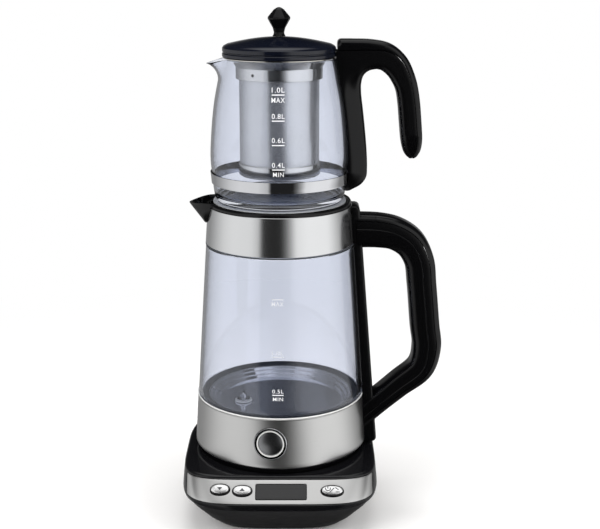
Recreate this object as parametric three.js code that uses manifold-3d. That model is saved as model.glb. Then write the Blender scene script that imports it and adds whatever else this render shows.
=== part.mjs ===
// Electric tea maker: a glass kettle on a powered base, with a glass teapot standing on the kettle.
// Millimetres, Z up. The origin is on the table under the centre of the kettle. The console of the base
// faces -Y, both handles point to +X and both spouts to -X.
import * as THREE from "three";
import { mergeVertices } from "three/addons/utils/BufferGeometryUtils.js";
import { ConvexGeometry } from "three/addons/geometries/ConvexGeometry.js";
import Module from "manifold-3d";

const wasm = await Module();
wasm.setup();

// Clearances and shared sizes
const seatGap = 0.3; // between pieces that rest on each other or move past each other
const cutOver = 3; // how far a cut runs past the face that it opens
const sheetWall = 0.8; // stainless sheet
const mergeShare = 1e-5;
const roundSteps = 28;
const mediumSteps = 20;
const smallSteps = 10;
const tinySteps = 8;
const ovalSteps = 12;

// Base: a tapered tray below, a glossy housing with a sloped console above
const deckFrontMargin = 2.4; // deck left between the dock and its rounded edge
const deckSideMargin = 7.6;
const deckBackMargin = 11.6;
const frontExponent = 4;
const backExponent = 2.8;
const outlineSteps = 32;
const footLift = 1.5;
const trayHeight = 28.5;
const trayTaper = 24.8;
const trayWall = 2.2;
const trayLipInset = 1.2;
const trayBendShare = 0.55; // how much of the taper lies below half height
const rimHeight = 5.2;
const rimBevel = 1;
const fasciaRise = 17.5;
const fasciaRun = 16.6;
const sideLean = 1.8;
const deckRise = 2;
const deckRun = 3;
const housingWall = 2.4;
const dockDepth = 4;
const dockClearance = 1;

// Console: fascia plate, display and three oval buttons
const fasciaPlate = 1.2;
const fasciaInset = 6;
const fasciaMargin = 0.9;
const pocketDepth = 1.5;
const displayHeight = 13.5;
const buttonHeight = 9.6;
const buttonProud = 0.9;
const buttonClearance = 0.4;
const buttonTravel = 0.8;
const buttonNames = ["minus", "plus", "power"];
const capFlangeShare = 0.4; // of the space between two buttons
const flangeThick = 0.8;
const boardDepth = 15.3;
const boardThick = 1.6;
const boardHeight = 14;
const boardEdge = 6;
const switchSide = 6;
const switchHeight = 3.4;
const plungerRadius = 1.5;

// Lengths along the console, as shares of half the fascia's length
const buttonInsetShare = 0.369; // end of the fascia to the middle of the first button
const buttonLengthShare = 0.206;
const buttonSpacingShare = 0.0312;
const displaySpacingShare = 0.0406;
const displayLengthShare = 0.5375;
const powerSpacingShare = 0.156;
const powerLengthShare = 0.2375;

// Power connector between base and kettle
const connectorRadius = 17.8;
const connectorHeight = 10.5;
const connectorFlange = 4;
const connectorFlangeThick = 2.4;
const contactGroove = 2;
const contactPinRadius = 2;
const couplerWall = 3.2;
const couplerRoof = 3.6;

// Kettle: radii of the whole body, then heights from the dock upwards
const kettleFootRadius = 76.9;
const kettleTopRadius = 62.5;
const kettleBulge = 0.3;
const footRingInset = 4.3;
const footRingWidth = 5.5;
const bandLift = 4.5; // deck to the lower band
const lowerBandHeight = 45;
const glassShow = 137;
const upperBandHeight = 33;
const collarRise = 6.6;
const bandRoll = 2.2; // inward roll of the lower band's bottom edge
const coverFloor = 2;
const coverLip = 7.6;
const coverWall = 2;

const kettleGlassWall = 2.8;
const glassSetback = 0.4;
const glassNeckStep = 0.9;
const glassTuck = 6.5; // glass hidden inside the lower band
const glassNeck = 5; // glass hidden inside the upper band
const sealHeight = 1.2;

// Heating dish in the bottom of the kettle
const dishRun = 11.1; // width of its stepped side
const dishDepth = 8;
const dishShares = [
  [0, 0],
  [0.28, 0.12],
  [0.5, 0.38],
  [0.86, 0.86],
  [1, 1],
];
const dishSheet = 1;
const gasketHeight = 5.8;
const gasketWidth = 5;
const holderWidth = 13;
const holderHeight = 5.6;
const elementInset = 11.5;
const elementTube = 4;
const controlRadius = 20.5;
const controlNeckRadius = 15;
const controlNeckHeight = 15;
const probeTurn = -166.4; // degrees about Z
const probeSpacing = 1; // to the element's tube
const probeRadius = 3;
const probeHeight = 6.5;
const probeFlangeRadius = 6;
const probeSealRadius = 7.6;
const probeSealThick = 1.3;
const probeStem = 12;

// Round push button on the lower band
const frontButtonTurn = -95.8; // degrees about Z
const frontButtonHeight = 23.3; // above the band's bottom edge
const bezelRadius = 14.3;
const bezelWidth = 1.1;
const bezelProud = 0.9;
const wellWall = 1;
const wellDepth = 11;
const buttonRingWidth = 0.8;
const frontButtonRadius = 10.6;
const frontButtonThick = 6;
const frontButtonDish = 0.7;
const frontStemRadius = 3;
const frontButtonTravel = 2.5;
const frontSwitchSide = 13;
const frontSwitchDepth = 8;

// Collar with the pouring beak
const collarWall = 1.9;
const collarTopWidth = 2.4;
const ledgeWidth = 8;
const ledgeThick = 3.2;
const ledgeDrop = 5.8;
const beakReach = 78.5;
const beakHalfWidth = 22;
const beakTipDrop = 5.2;
const beakKeelDrop = 23.5;
const beakWall = 2;
const beakCheekShare = 0.8; // half width of the beak where its sides meet the keel
const beakCheekDropShare = 0.62;
const beakNarrowShare = 0.62;
const beakNarrowPlaceShare = 0.55;

// Kettle lid under the teapot
const lidSheet = 1;
const lidGasketThick = 0.9;
const lidRestWidth = 9;
const lidStepDepth = 2;
const lidStepRadius = 34;
const lidCrownRadius = 20;
const steamHoleRadius = 2.6;
const steamHoleCount = 6;

// Kettle handle
const spineTopThick = 6.9;
const spineFootThick = 9.6;
const spineWidth = 24;
const spineBevel = 2;
const spineFootLift = 3; // deck to the foot of the spine
const loopThick = 30;
const loopWidth = 26.5;
const loopReach = 62;
const loopTopDrop = 23.2; // top of the band to the middle of the upper arm
const loopFootLift = 24.7; // deck to the middle of the lower arm
const handleExponent = 4.2;
const handleRingPoints = 12;
const seamRingPoints = 8;
const loopStationCount = 17;
const hookStationCount = 14;
const handleScrewRadius = 3.2;
const handleScrewLength = 9;

// Teapot
const teapotSeat = 3; // how deep it stands inside the collar
const teapotHeight = 121;
const teapotSetback = 3.2; // the teapot's belly is this much slimmer than the kettle's top
const teapotWall = 2.4;
const teapotFloor = 4;
const floorEdgeShare = 1.4;
const floorMiddleShare = 1.2;
const teapotFootInset = 1.2;
const lipReach = 13.5;
const lipHeight = 18;
const lipHalfAngle = 27; // degrees
const lipExponent = 1.7;
const hoopLift = 15.6;
const hoopHeight = 9.6;
const hoopGroove = 0.9; // between the glass and the hoop's mean radius
const hoopSheet = 0.7;
const legReach = 16;
const legWidth = 22;
const legBevel = 2.5;
const hookSetOut = 0.7;
const hookRise = 3.5; // rim to the middle of the hook's root
const hookThick = 25;
const hookWidth = 21;
const hookReach = 53.8;
const hookDropShare = 0.735; // of the teapot's height
const lidClearance = 0.8;

// Filter basket
const flangeSetback = 1.1; // from the teapot's rim
const flangeWidth = 6.6;
const flareRun = 3.8;
const flareDrop = 7.4;
const filterRingHeight = 9.6;
const meshStep = 2.8;
const meshWall = 0.6;
const filterFootLift = 22.3; // the teapot's underside to the filter's foot
const filterFootHeight = 10.5;
const ventRadius = 1.3;
const ventTurn = -125; // degrees about Z

// Teapot lid and knob
const lidSetback = 0.2; // from the teapot's rim
const lidRimHeight = 9.4;
const lidDomeRise = 7;
const lidDomeShares = [0.8, 0.42];
const lidDomeEdgeShare = 0.96;
const lidDomeExponent = 1.15;
const lidWall = 2.6;
const lidRidge = 0.7;
const skirtClearance = 3.2;
const skirtDepth = 5.2;
const skirtWall = 1.8;
const lidSealThick = 0.8;
const lidSealHeight = 2;
const knobHeight = 24;
const knobRadius = 9.6;
const knobNeckRadius = 4.4;
const knobFootRadius = 5.6;
const knobSides = 10;
const screwBore = 2;
const knobScrewRadius = 1.4;
const knobScrewHeadRadius = 3.4;
const knobScrewHead = 2;
const knobScrewReach = 8;

// Small parts under and behind the base
const footRadius = 7;
const footPocket = 1.4;
const footXShare = 0.5;
const footYShare = 0.5;
const baseScrewHeadRadius = 3;
const baseScrewRadius = 1.3;
const baseScrewHead = 2;
const bossRadius = 4;
const screwXShare = 0.57;
const screwYShare = 0.24;
const glandShare = 0.45; // place of the cord gland on the upper half of the tray's side
const glandRadius = 5;
const glandBore = 3;
const glandFlangeRadius = 7.5;
const glandFlange = 1.6;
const glandReach = 6;
const glandInside = 4;

// Radii and outlines that follow other pieces
const footRingRadius = kettleFootRadius - footRingInset;
const dockRadius = footRingRadius + dockClearance;
const baseHalfWidth = dockRadius + deckSideMargin + deckRun + sideLean;
const baseFrontDepth = dockRadius + deckFrontMargin + deckRun + fasciaRun;
const baseBackDepth = dockRadius + deckBackMargin + deckRun + sideLean;
const fasciaHalfLength = baseHalfWidth - fasciaInset;
const buttonLength = buttonLengthShare * fasciaHalfLength;
const buttonSpacing = buttonSpacingShare * fasciaHalfLength;
const displayLength = displayLengthShare * fasciaHalfLength;
const powerButtonLength = powerLengthShare * fasciaHalfLength;
const teapotRadius = kettleTopRadius - teapotSetback;

// Heights from the table up
const trayTopZ = footLift + trayHeight;
const housingZ = trayTopZ + seatGap;
const rimTopZ = housingZ + rimHeight;
const fasciaTopZ = rimTopZ + fasciaRise;
const deckZ = fasciaTopZ + deckRise;
const dockZ = deckZ - dockDepth;
const kettleFootZ = dockZ + seatGap;
const lowerBandZ = deckZ + bandLift;
const lowerBandTopZ = lowerBandZ + lowerBandHeight;
const glassShoulderZ = lowerBandTopZ + glassShow;
const upperSealZ = glassShoulderZ + seatGap;
const upperBandZ = upperSealZ + sealHeight + seatGap;
const upperBandTopZ = upperBandZ + upperBandHeight;
const collarZ = upperBandTopZ + seatGap;
const collarTopZ = collarZ + collarRise;
const ledgeZ = collarTopZ - ledgeDrop;
const teapotZ = collarTopZ - teapotSeat;
const teapotRimZ = teapotZ + teapotHeight;
const fasciaSlope = Math.atan2(fasciaRise, fasciaRun);

const degrees = (angle) => (angle * Math.PI) / 180;
const lerp = THREE.MathUtils.lerp;

// Outer radius of the kettle at a height
function bodyRadius(z) {
  const share = (z - lowerBandZ) / (upperBandTopZ - lowerBandZ);
  return lerp(kettleFootRadius, kettleTopRadius, share) + 4 * kettleBulge * share * (1 - share);
}

// Solids and booleans
function solidOf(geometry) {
  const bare = geometry.clone();
  bare.deleteAttribute("normal");
  bare.deleteAttribute("uv");
  bare.computeBoundingSphere();
  const merged = mergeVertices(bare, bare.boundingSphere.radius * mergeShare);
  const corners = merged.index.array;
  const kept = [];
  for (let i = 0; i < corners.length; i += 3) {
    const [a, b, c] = [corners[i], corners[i + 1], corners[i + 2]];
    if (a !== b && b !== c && c !== a) kept.push(a, b, c);
  }
  const vertProperties = merged.attributes.position.array;
  const triVerts = new Uint32Array(kept);
  return new wasm.Manifold(new wasm.Mesh({ numProp: 3, vertProperties, triVerts }));
}

function geometryOf(solid) {
  const mesh = solid.getMesh();
  const made = new THREE.BufferGeometry();
  made.setAttribute("position", new THREE.BufferAttribute(new Float32Array(mesh.vertProperties), 3));
  made.setIndex(new THREE.BufferAttribute(new Uint32Array(mesh.triVerts), 1));
  made.computeVertexNormals();
  return made;
}

const join = (first, ...rest) => geometryOf(rest.reduce((sum, g) => sum.add(solidOf(g)), solidOf(first)));
const cut = (body, ...tools) =>
  geometryOf(tools.reduce((left, g) => left.subtract(solidOf(g)), solidOf(body)));
const common = (first, ...rest) =>
  geometryOf(rest.reduce((left, g) => left.intersect(solidOf(g)), solidOf(first)));

// A body turned about Z from [radius, height] pairs, the outer side going up
function turned(profile, steps = roundSteps) {
  const onAxis = profile[0][0] === 0;
  const points = (onAxis ? profile : [...profile, profile[0]]).map(([r, z]) => new THREE.Vector2(r, z));
  return new THREE.LatheGeometry(points, steps).rotateX(Math.PI / 2);
}

// A ring with a rectangular section
const ring = (inner, outer, low, high, steps = roundSteps) =>
  turned([[inner, low], [outer, low], [outer, high], [inner, high]], steps);

// A round bar from one height to another
const disc = (radius, low, high, steps = tinySteps) =>
  new THREE.CylinderGeometry(radius, radius, high - low, steps)
    .rotateX(Math.PI / 2)
    .translate(0, 0, (low + high) / 2);

const block = (x, y, low, high) => new THREE.BoxGeometry(x, y, high - low).translate(0, 0, (low + high) / 2);

// A closed skin over rings of points that turn anticlockwise about the way they advance
function skin(rings) {
  const count = rings[0].length;
  const points = rings.flat();
  const faces = [];
  for (let k = 0; k < rings.length - 1; k++)
    for (let j = 0; j < count; j++) {
      const next = (j + 1) % count;
      const [a, b] = [k * count + j, k * count + next];
      faces.push(a, b, b + count, a, b + count, a + count);
    }
  const middle = (list) =>
    list.reduce((sum, p) => sum.add(p), new THREE.Vector3()).divideScalar(list.length);
  const first = points.push(middle(rings[0])) - 1;
  const last = points.push(middle(rings[rings.length - 1])) - 1;
  const lastRing = (rings.length - 1) * count;
  for (let j = 0; j < count; j++) {
    const next = (j + 1) % count;
    faces.push(first, next, j, last, lastRing + j, lastRing + next);
  }
  return new THREE.BufferGeometry().setFromPoints(points).setIndex(faces);
}

const power = (value, exponent) => Math.sign(value) * Math.abs(value) ** exponent;

// The base's outline in plan: squarer in front, rounder behind
function planRing(z, halfWidth, front, back) {
  return Array.from({ length: outlineSteps }, (_, k) => {
    const angle = (2 * Math.PI * k) / outlineSteps;
    const ahead = Math.sin(angle) < 0;
    const exponent = 2 / (ahead ? frontExponent : backExponent);
    const x = halfWidth * power(Math.cos(angle), exponent);
    const y = (ahead ? front : back) * power(Math.sin(angle), exponent);
    return new THREE.Vector3(x, y, z);
  });
}
const insetRing = (z, inset) =>
  planRing(z, baseHalfWidth - inset, baseFrontDepth - inset, baseBackDepth - inset);

// A bar swept along a path in the XZ plane: stations are [x, z, thickness, width]
function sweptBar(stations, points = handleRingPoints) {
  const rings = stations.map(([x, z, thick, wide], k) => {
    const before = stations[Math.max(k - 1, 0)];
    const after = stations[Math.min(k + 1, stations.length - 1)];
    const way = new THREE.Vector2(after[0] - before[0], after[1] - before[1]).normalize();
    return Array.from({ length: points }, (_, j) => {
      const angle = (2 * Math.PI * (j + 0.5)) / points;
      const u = (thick / 2) * power(Math.cos(angle), 2 / handleExponent);
      const v = (wide / 2) * power(Math.sin(angle), 2 / handleExponent);
      return new THREE.Vector3(x + u * way.y, v, z - u * way.x);
    });
  });
  return skin(rings);
}

// Evenly spread stations on a smooth curve through chosen ones
function smoothStations(chosen, count) {
  const path = new THREE.CatmullRomCurve3(chosen.map(([x, z, thick]) => new THREE.Vector3(x, thick, z)));
  return Array.from({ length: count + 1 }, (_, k) => {
    const p = path.getPoint(k / count);
    return [p.x, p.z, p.y];
  });
}

// A plate with a given outline in XZ, as wide as asked along Y, its edges bevelled
function bevelledPlate(shape, width, bevel) {
  const settings = {
    depth: width - 2 * bevel,
    bevelSize: bevel,
    bevelThickness: bevel,
    bevelOffset: -bevel,
    bevelSegments: 2,
    curveSegments: 3,
  };
  return new THREE.ExtrudeGeometry(shape, settings).rotateX(Math.PI / 2).translate(0, width / 2 - bevel, 0);
}

// Materials
const finish = (color, roughness, metalness) =>
  new THREE.MeshStandardMaterial({ color, roughness, metalness });
const glassFinish = finish(0xd5daea, 0.05, 0);
glassFinish.transparent = true;
glassFinish.opacity = 0.35;
const finishes = {
  glass: glassFinish,
  brushed: finish(0xb9b6b1, 0.35, 1),
  polished: finish(0xdcdcdc, 0.08, 1),
  strainer: finish(0xa9a9a6, 0.45, 1),
  glossBlack: finish(0x08080a, 0.08, 0),
  satinBlack: finish(0x101012, 0.35, 0),
  trayGrey: finish(0x2b2b2e, 0.45, 0),
  rubber: finish(0x1b1b1b, 0.8, 0),
  silicone: finish(0x3a3d42, 0.6, 0),
  whiteSilicone: finish(0xe4e4e2, 0.6, 0),
  fascia: finish(0xb4b4b4, 0.4, 0.9),
  display: finish(0x55585a, 0.15, 0),
  circuit: finish(0x1f5a34, 0.5, 0),
  buttonSilver: finish(0xc9c9c9, 0.3, 0.8),
  zinc: finish(0xa8a9ab, 0.4, 1),
  nylon: finish(0xd8d4c8, 0.6, 0),
};

function piece(name, geometry, material) {
  const mesh = new THREE.Mesh(geometry, material);
  mesh.name = name;
  return mesh;
}

// Base
function housingRing(z, inset) {
  const slope = THREE.MathUtils.clamp((z - rimTopZ) / fasciaRise, 0, 1);
  const roll = Math.max((z - fasciaTopZ) / deckRise, 0) * deckRun;
  const side = slope * sideLean + roll + inset;
  const front = slope * fasciaRun + roll + inset;
  return planRing(z, baseHalfWidth - side, baseFrontDepth - front, baseBackDepth - side);
}
const housingSkin = (inset) =>
  skin([
    housingRing(housingZ, inset + rimBevel),
    housingRing(housingZ + rimBevel, inset),
    housingRing(rimTopZ, inset),
    housingRing(fasciaTopZ, inset),
    housingRing(deckZ, inset),
  ]);
const faceInset = (depth) => depth / Math.sin(fasciaSlope);

const footPlaces = [1, -1].flatMap((sx) =>
  [-baseFrontDepth * footYShare, baseBackDepth * footYShare].map((y) => [sx * baseHalfWidth * footXShare, y]),
);
const screwPlaces = [1, -1].flatMap((sx) =>
  [1, -1].map((sy) => [sx * baseHalfWidth * screwXShare, sy * baseBackDepth * screwYShare]),
);
const trayFloorZ = footLift + trayWall;
const screwPadZ = trayFloorZ + baseScrewHead + seatGap;
const screwSeatZ = footLift + baseScrewHead + 2 * seatGap;
const screwTopZ = screwPadZ + 2 * bossRadius;
const trayBendZ = (footLift + trayTopZ) / 2;
const trayBendInset = lerp(trayTaper, trayLipInset, trayBendShare);
const traySideLean = Math.atan2(trayBendInset - trayLipInset, trayTopZ - trayBendZ);

function baseTray() {
  const outer = skin([
    insetRing(footLift, trayTaper + trayWall / 2),
    insetRing(footLift + trayWall / 2, trayTaper),
    insetRing(trayBendZ, trayBendInset),
    insetRing(trayTopZ, trayLipInset),
  ]);
  const hollow = skin([
    insetRing(trayFloorZ, trayTaper + trayWall),
    insetRing(trayBendZ, trayBendInset + trayWall),
    insetRing(trayTopZ, trayLipInset + trayWall),
    insetRing(trayTopZ + cutOver, trayLipInset + trayWall),
  ]);
  const pads = screwPlaces.map(([x, y]) =>
    disc(bossRadius + seatGap + trayWall / 2, footLift + trayWall / 2, screwPadZ).translate(x, y, 0),
  );
  const holes = screwPlaces.flatMap(([x, y]) => [
    disc(baseScrewHeadRadius + seatGap, footLift - cutOver, screwSeatZ).translate(x, y, 0),
    disc(baseScrewRadius + seatGap, footLift, screwPadZ + cutOver).translate(x, y, 0),
  ]);
  const pockets = footPlaces.map(([x, y]) =>
    disc(footRadius + seatGap, footLift - cutOver, footLift + footPocket, smallSteps).translate(x, y, 0),
  );
  const cordHole = glandBar(glandRadius + seatGap, -cutOver - trayWall, glandReach);
  return cut(join(cut(outer, hollow), ...pads), ...holes, ...pockets, cordHole);
}

// A round bar square to the tray's leaning back wall, measured from its outer face outwards
const glandBar = (radius, from, to) =>
  new THREE.CylinderGeometry(radius, radius, to - from, smallSteps)
    .translate(0, (from + to) / 2, 0)
    .rotateX(-traySideLean)
    .translate(
      0,
      baseBackDepth - lerp(trayBendInset, trayLipInset, glandShare),
      lerp(trayBendZ, trayTopZ, glandShare),
    );

function cordGland() {
  const body = join(
    glandBar(glandRadius, -trayWall - glandInside, glandReach),
    glandBar(glandFlangeRadius, seatGap, seatGap + glandFlange),
  );
  return cut(body, glandBar(glandBore, -trayWall - glandInside - cutOver, glandReach + cutOver));
}

const consoleZ = (rimTopZ + fasciaTopZ) / 2;
const consoleY = -baseFrontDepth + fasciaRun / 2;
const consoleFrame = new THREE.Matrix4()
  .makeTranslation(0, consoleY, consoleZ)
  .multiply(new THREE.Matrix4().makeRotationX(fasciaSlope));
const onConsole = (geometry) => geometry.clone().applyMatrix4(consoleFrame);

// An oval bar along Z
const oval = (length, height, low, high) =>
  new THREE.CylinderGeometry(1, 1, 1, ovalSteps)
    .rotateX(Math.PI / 2)
    .scale(length / 2, height / 2, high - low)
    .translate(0, 0, (low + high) / 2);
const buttonLengths = [buttonLength, buttonLength, powerButtonLength];
const minusX = (buttonInsetShare - 1) * fasciaHalfLength;
const plusX = minusX + buttonLength + buttonSpacing;
const displayLeftX = plusX + buttonLength / 2 + displaySpacingShare * fasciaHalfLength;
const displayCentreX = displayLeftX + displayLength / 2;
const powerLeftX = displayLeftX + displayLength + powerSpacingShare * fasciaHalfLength;
const powerX = powerLeftX + powerButtonLength / 2;
const buttonCentreXs = [minusX, plusX, powerX];
const ovalHoles = (gap) =>
  buttonCentreXs.map((x, k) =>
    oval(buttonLengths[k] + 2 * gap, buttonHeight + 2 * gap, -boardDepth, cutOver).translate(x, 0, 0),
  );
const fasciaSlab = (gap) =>
  new THREE.BoxGeometry(
    2 * (fasciaHalfLength + gap),
    baseFrontDepth,
    fasciaRise - 2 * (fasciaMargin - gap),
  ).translate(0, -baseFrontDepth, consoleZ);

function baseHousing() {
  const cavityInset = faceInset(pocketDepth + housingWall);
  const ceiling = deckZ - housingWall;
  const hollow = skin([
    housingRing(housingZ - cutOver, housingWall),
    housingRing(housingZ + rimHeight / 2, housingWall),
    housingRing(rimTopZ, cavityInset),
    housingRing(ceiling, cavityInset),
  ]);
  const dockReach = dockRadius + cavityInset + rimBevel;
  const dockBlock = disc(dockReach, dockZ - housingWall, deckZ + cutOver, roundSteps);
  const columns = screwPlaces.map(([x, y]) =>
    disc(bossRadius, screwPadZ + seatGap, dockZ - housingWall / 2).translate(x, y, 0),
  );
  const bores = screwPlaces.map(([x, y]) =>
    disc(baseScrewRadius + seatGap, screwPadZ, screwTopZ + seatGap).translate(x, y, 0),
  );
  const band = cut(housingSkin(-cutOver), housingSkin(faceInset(pocketDepth)));
  const pocket = common(band, fasciaSlab(seatGap));
  const dock = disc(dockRadius, dockZ, deckZ + cutOver, roundSteps);
  const socket = disc(connectorRadius + seatGap, dockZ - 2 * housingWall, deckZ, mediumSteps);
  const displayHole = block(displayLength - cutOver, displayHeight - cutOver, -boardDepth, cutOver);
  const openings = [...ovalHoles(buttonClearance), displayHole.translate(displayCentreX, 0, 0)];
  const shell = cut(housingSkin(0), cut(hollow, dockBlock));
  return cut(join(shell, ...columns), pocket, dock, socket, ...bores, ...openings.map(onConsole));
}

function baseFascia() {
  const plate = common(cut(housingSkin(0), housingSkin(faceInset(fasciaPlate))), fasciaSlab(0));
  const displayHole = block(displayLength + 2 * seatGap, displayHeight + 2 * seatGap, -boardDepth, cutOver);
  const openings = [...ovalHoles(buttonClearance), displayHole.translate(displayCentreX, 0, 0)];
  return cut(plate, ...openings.map(onConsole));
}

const boardZ = -boardDepth;
const switchZ = boardZ + seatGap;
const switchTopZ = switchZ + switchHeight;

// Button caps follow the curved console, so they are cut by its skin, a little proud of it
function buttonCap(k) {
  const flangeZ = switchTopZ + buttonTravel + seatGap + flangeThick;
  const length = buttonLengths[k];
  const capFlange = buttonSpacing * capFlangeShare;
  const body = join(
    oval(length, buttonHeight, flangeZ, cutOver),
    oval(length + 2 * capFlange, buttonHeight + 2 * capFlange, flangeZ - flangeThick, flangeZ),
    disc(plungerRadius, switchTopZ - buttonTravel, flangeZ),
  ).translate(buttonCentreXs[k], 0, 0);
  const proudSkin = housingSkin(-faceInset(buttonProud)).applyMatrix4(consoleFrame.clone().invert());
  return common(body, proudSkin);
}

const tactSwitch = () =>
  cut(
    block(switchSide, switchSide, switchZ, switchTopZ),
    disc(plungerRadius + seatGap, switchTopZ - 3 * buttonTravel, switchTopZ + cutOver),
  );

function controlBoard() {
  const left = buttonCentreXs[0] - boardEdge;
  const right = buttonCentreXs[2] + boardEdge;
  return block(right - left, boardHeight, boardZ - boardThick, boardZ).translate((left + right) / 2, 0, 0);
}

function baseConnector() {
  const flangeZ = dockZ - housingWall - seatGap;
  const top = dockZ + connectorHeight;
  const floor = dockZ + connectorHeight / 4;
  const grooveOuter = connectorRadius - 3 * contactGroove;
  const grooveInner = grooveOuter - contactGroove;
  return turned(
    [
      [0, flangeZ - connectorFlangeThick],
      [connectorRadius + connectorFlange, flangeZ - connectorFlangeThick],
      [connectorRadius + connectorFlange, flangeZ],
      [connectorRadius, flangeZ],
      [connectorRadius, top - seatGap],
      [connectorRadius - seatGap, top],
      [grooveOuter, top],
      [grooveOuter, floor],
      [grooveInner, floor],
      [grooveInner, top],
      [contactPinRadius + contactGroove, top],
      [contactPinRadius + contactGroove, floor],
      [contactPinRadius, floor],
      [contactPinRadius, top - contactGroove],
      [0, top - contactGroove],
    ],
    mediumSteps,
  );
}

const baseScrew = ([x, y]) =>
  join(
    disc(baseScrewHeadRadius, screwSeatZ - seatGap - baseScrewHead, screwSeatZ - seatGap),
    disc(baseScrewRadius, screwSeatZ - baseScrewHead, screwTopZ),
  ).translate(x, y, 0);
const rubberFoot = ([x, y]) =>
  disc(footRadius, 0, footLift + footPocket - seatGap, smallSteps).translate(x, y, 0);

function makeBase() {
  const base = new THREE.Group();
  const feet = footPlaces.map((place, k) => piece(`base_foot_${k + 1}`, rubberFoot(place), finishes.rubber));
  const screws = screwPlaces.map((place, k) => piece(`base_screw_${k + 1}`, baseScrew(place), finishes.zinc));
  base.add(
    piece("base_housing", baseHousing(), finishes.glossBlack),
    piece("base_tray", baseTray(), finishes.trayGrey),
    piece("base_fascia", baseFascia(), finishes.fascia),
    piece("base_connector", baseConnector(), finishes.satinBlack),
    piece("cord_gland", cordGland(), finishes.rubber),
    ...feet,
    ...screws,
  );
  const panel = new THREE.Group();
  panel.position.set(0, consoleY, consoleZ);
  panel.rotation.x = fasciaSlope;
  const displayWindow = block(displayLength, displayHeight, -fasciaPlate, 0);
  const displayModule = block(displayLength, displayHeight, switchZ, -faceInset(pocketDepth + housingWall));
  panel.add(
    piece("display_window", displayWindow.translate(displayCentreX, 0, 0), finishes.display),
    piece("display_module", displayModule.translate(displayCentreX, 0, 0), finishes.nylon),
    piece("control_board", controlBoard(), finishes.circuit),
  );
  buttonNames.forEach((name, k) => {
    const place = buttonCentreXs[k];
    panel.add(piece(`button_${name}`, buttonCap(k), finishes.buttonSilver));
    panel.add(piece(`switch_${name}`, tactSwitch().translate(place, 0, 0), finishes.satinBlack));
  });
  return base.add(panel);
}

// Kettle bottom: coupler, cover, band and the round button in it
function kettleCoupler() {
  const low = kettleFootZ + coverFloor;
  const roof = dockZ + connectorHeight + seatGap;
  const inner = connectorRadius + seatGap;
  const tongueOuter = connectorRadius - 3 * contactGroove - seatGap;
  const tongueInner = tongueOuter - contactGroove + 2 * seatGap;
  const tongueZ = roof - connectorHeight / 2;
  return turned(
    [
      [0, roof],
      [tongueInner, roof],
      [tongueInner, tongueZ],
      [tongueOuter, tongueZ],
      [tongueOuter, roof],
      [inner, roof],
      [inner, low],
      [inner + couplerWall, low],
      [inner + couplerWall, roof + couplerRoof],
      [0, roof + couplerRoof],
    ],
    mediumSteps,
  );
}

const couplerRadius = connectorRadius + seatGap + couplerWall;
const couplerTopZ = dockZ + connectorHeight + seatGap + couplerRoof;

function kettleBottomCover() {
  const hole = couplerRadius + seatGap;
  const floor = kettleFootZ + coverFloor;
  const ringInner = footRingRadius - footRingWidth;
  const lip = bodyRadius(lowerBandZ) - bandRoll - seatGap;
  const wall = bodyRadius(lowerBandZ + coverLip) - sheetWall - seatGap;
  return turned([
    [hole, floor],
    [ringInner - coverFloor, floor],
    [ringInner, kettleFootZ],
    [footRingRadius, kettleFootZ],
    [lip - coverWall / 2, lowerBandZ - seatGap],
    [lip - coverWall / 2, lowerBandZ + coverWall],
    [wall - seatGap, lowerBandZ + 2 * coverWall],
    [wall, lowerBandZ + coverLip],
    [wall - coverWall, lowerBandZ + coverLip],
    [wall - coverWall, lowerBandZ + 2 * coverWall],
    [ringInner, floor + coverFloor],
    [hole, floor + coverFloor],
  ]);
}

const buttonTilt = Math.atan2(kettleFootRadius - kettleTopRadius, upperBandTopZ - lowerBandZ);
const buttonCentreZ = lowerBandZ + frontButtonHeight;
const buttonGroup = () => {
  const turn = degrees(frontButtonTurn);
  const reach = bodyRadius(buttonCentreZ);
  const group = new THREE.Group();
  group.position.set(reach * Math.cos(turn), reach * Math.sin(turn), buttonCentreZ);
  group.rotation.set(0, Math.PI / 2 - buttonTilt, turn, "ZYX");
  group.updateMatrix();
  return group;
};
const onButton = (geometry) => geometry.clone().applyMatrix4(buttonGroup().matrix);
const wellOuter = bezelRadius - bezelWidth - seatGap;

function lowerBand() {
  const outerRoll = bodyRadius(lowerBandZ) - bandRoll;
  const low = bodyRadius(lowerBandZ + bandRoll);
  const high = bodyRadius(lowerBandTopZ);
  const shell = turned([
    [outerRoll, lowerBandZ],
    [low - bandRoll / 3, lowerBandZ + bandRoll / 3],
    [low, lowerBandZ + bandRoll],
    [high, lowerBandTopZ],
    [high - sheetWall, lowerBandTopZ],
    [low - sheetWall, lowerBandZ + bandRoll],
    [low - bandRoll / 3 - sheetWall, lowerBandZ + bandRoll / 3 + sheetWall / 2],
    [outerRoll, lowerBandZ + sheetWall],
  ]);
  const hole = disc(bezelRadius + seatGap, -wellDepth, wellDepth, mediumSteps);
  return cut(shell, onButton(hole));
}

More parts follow.
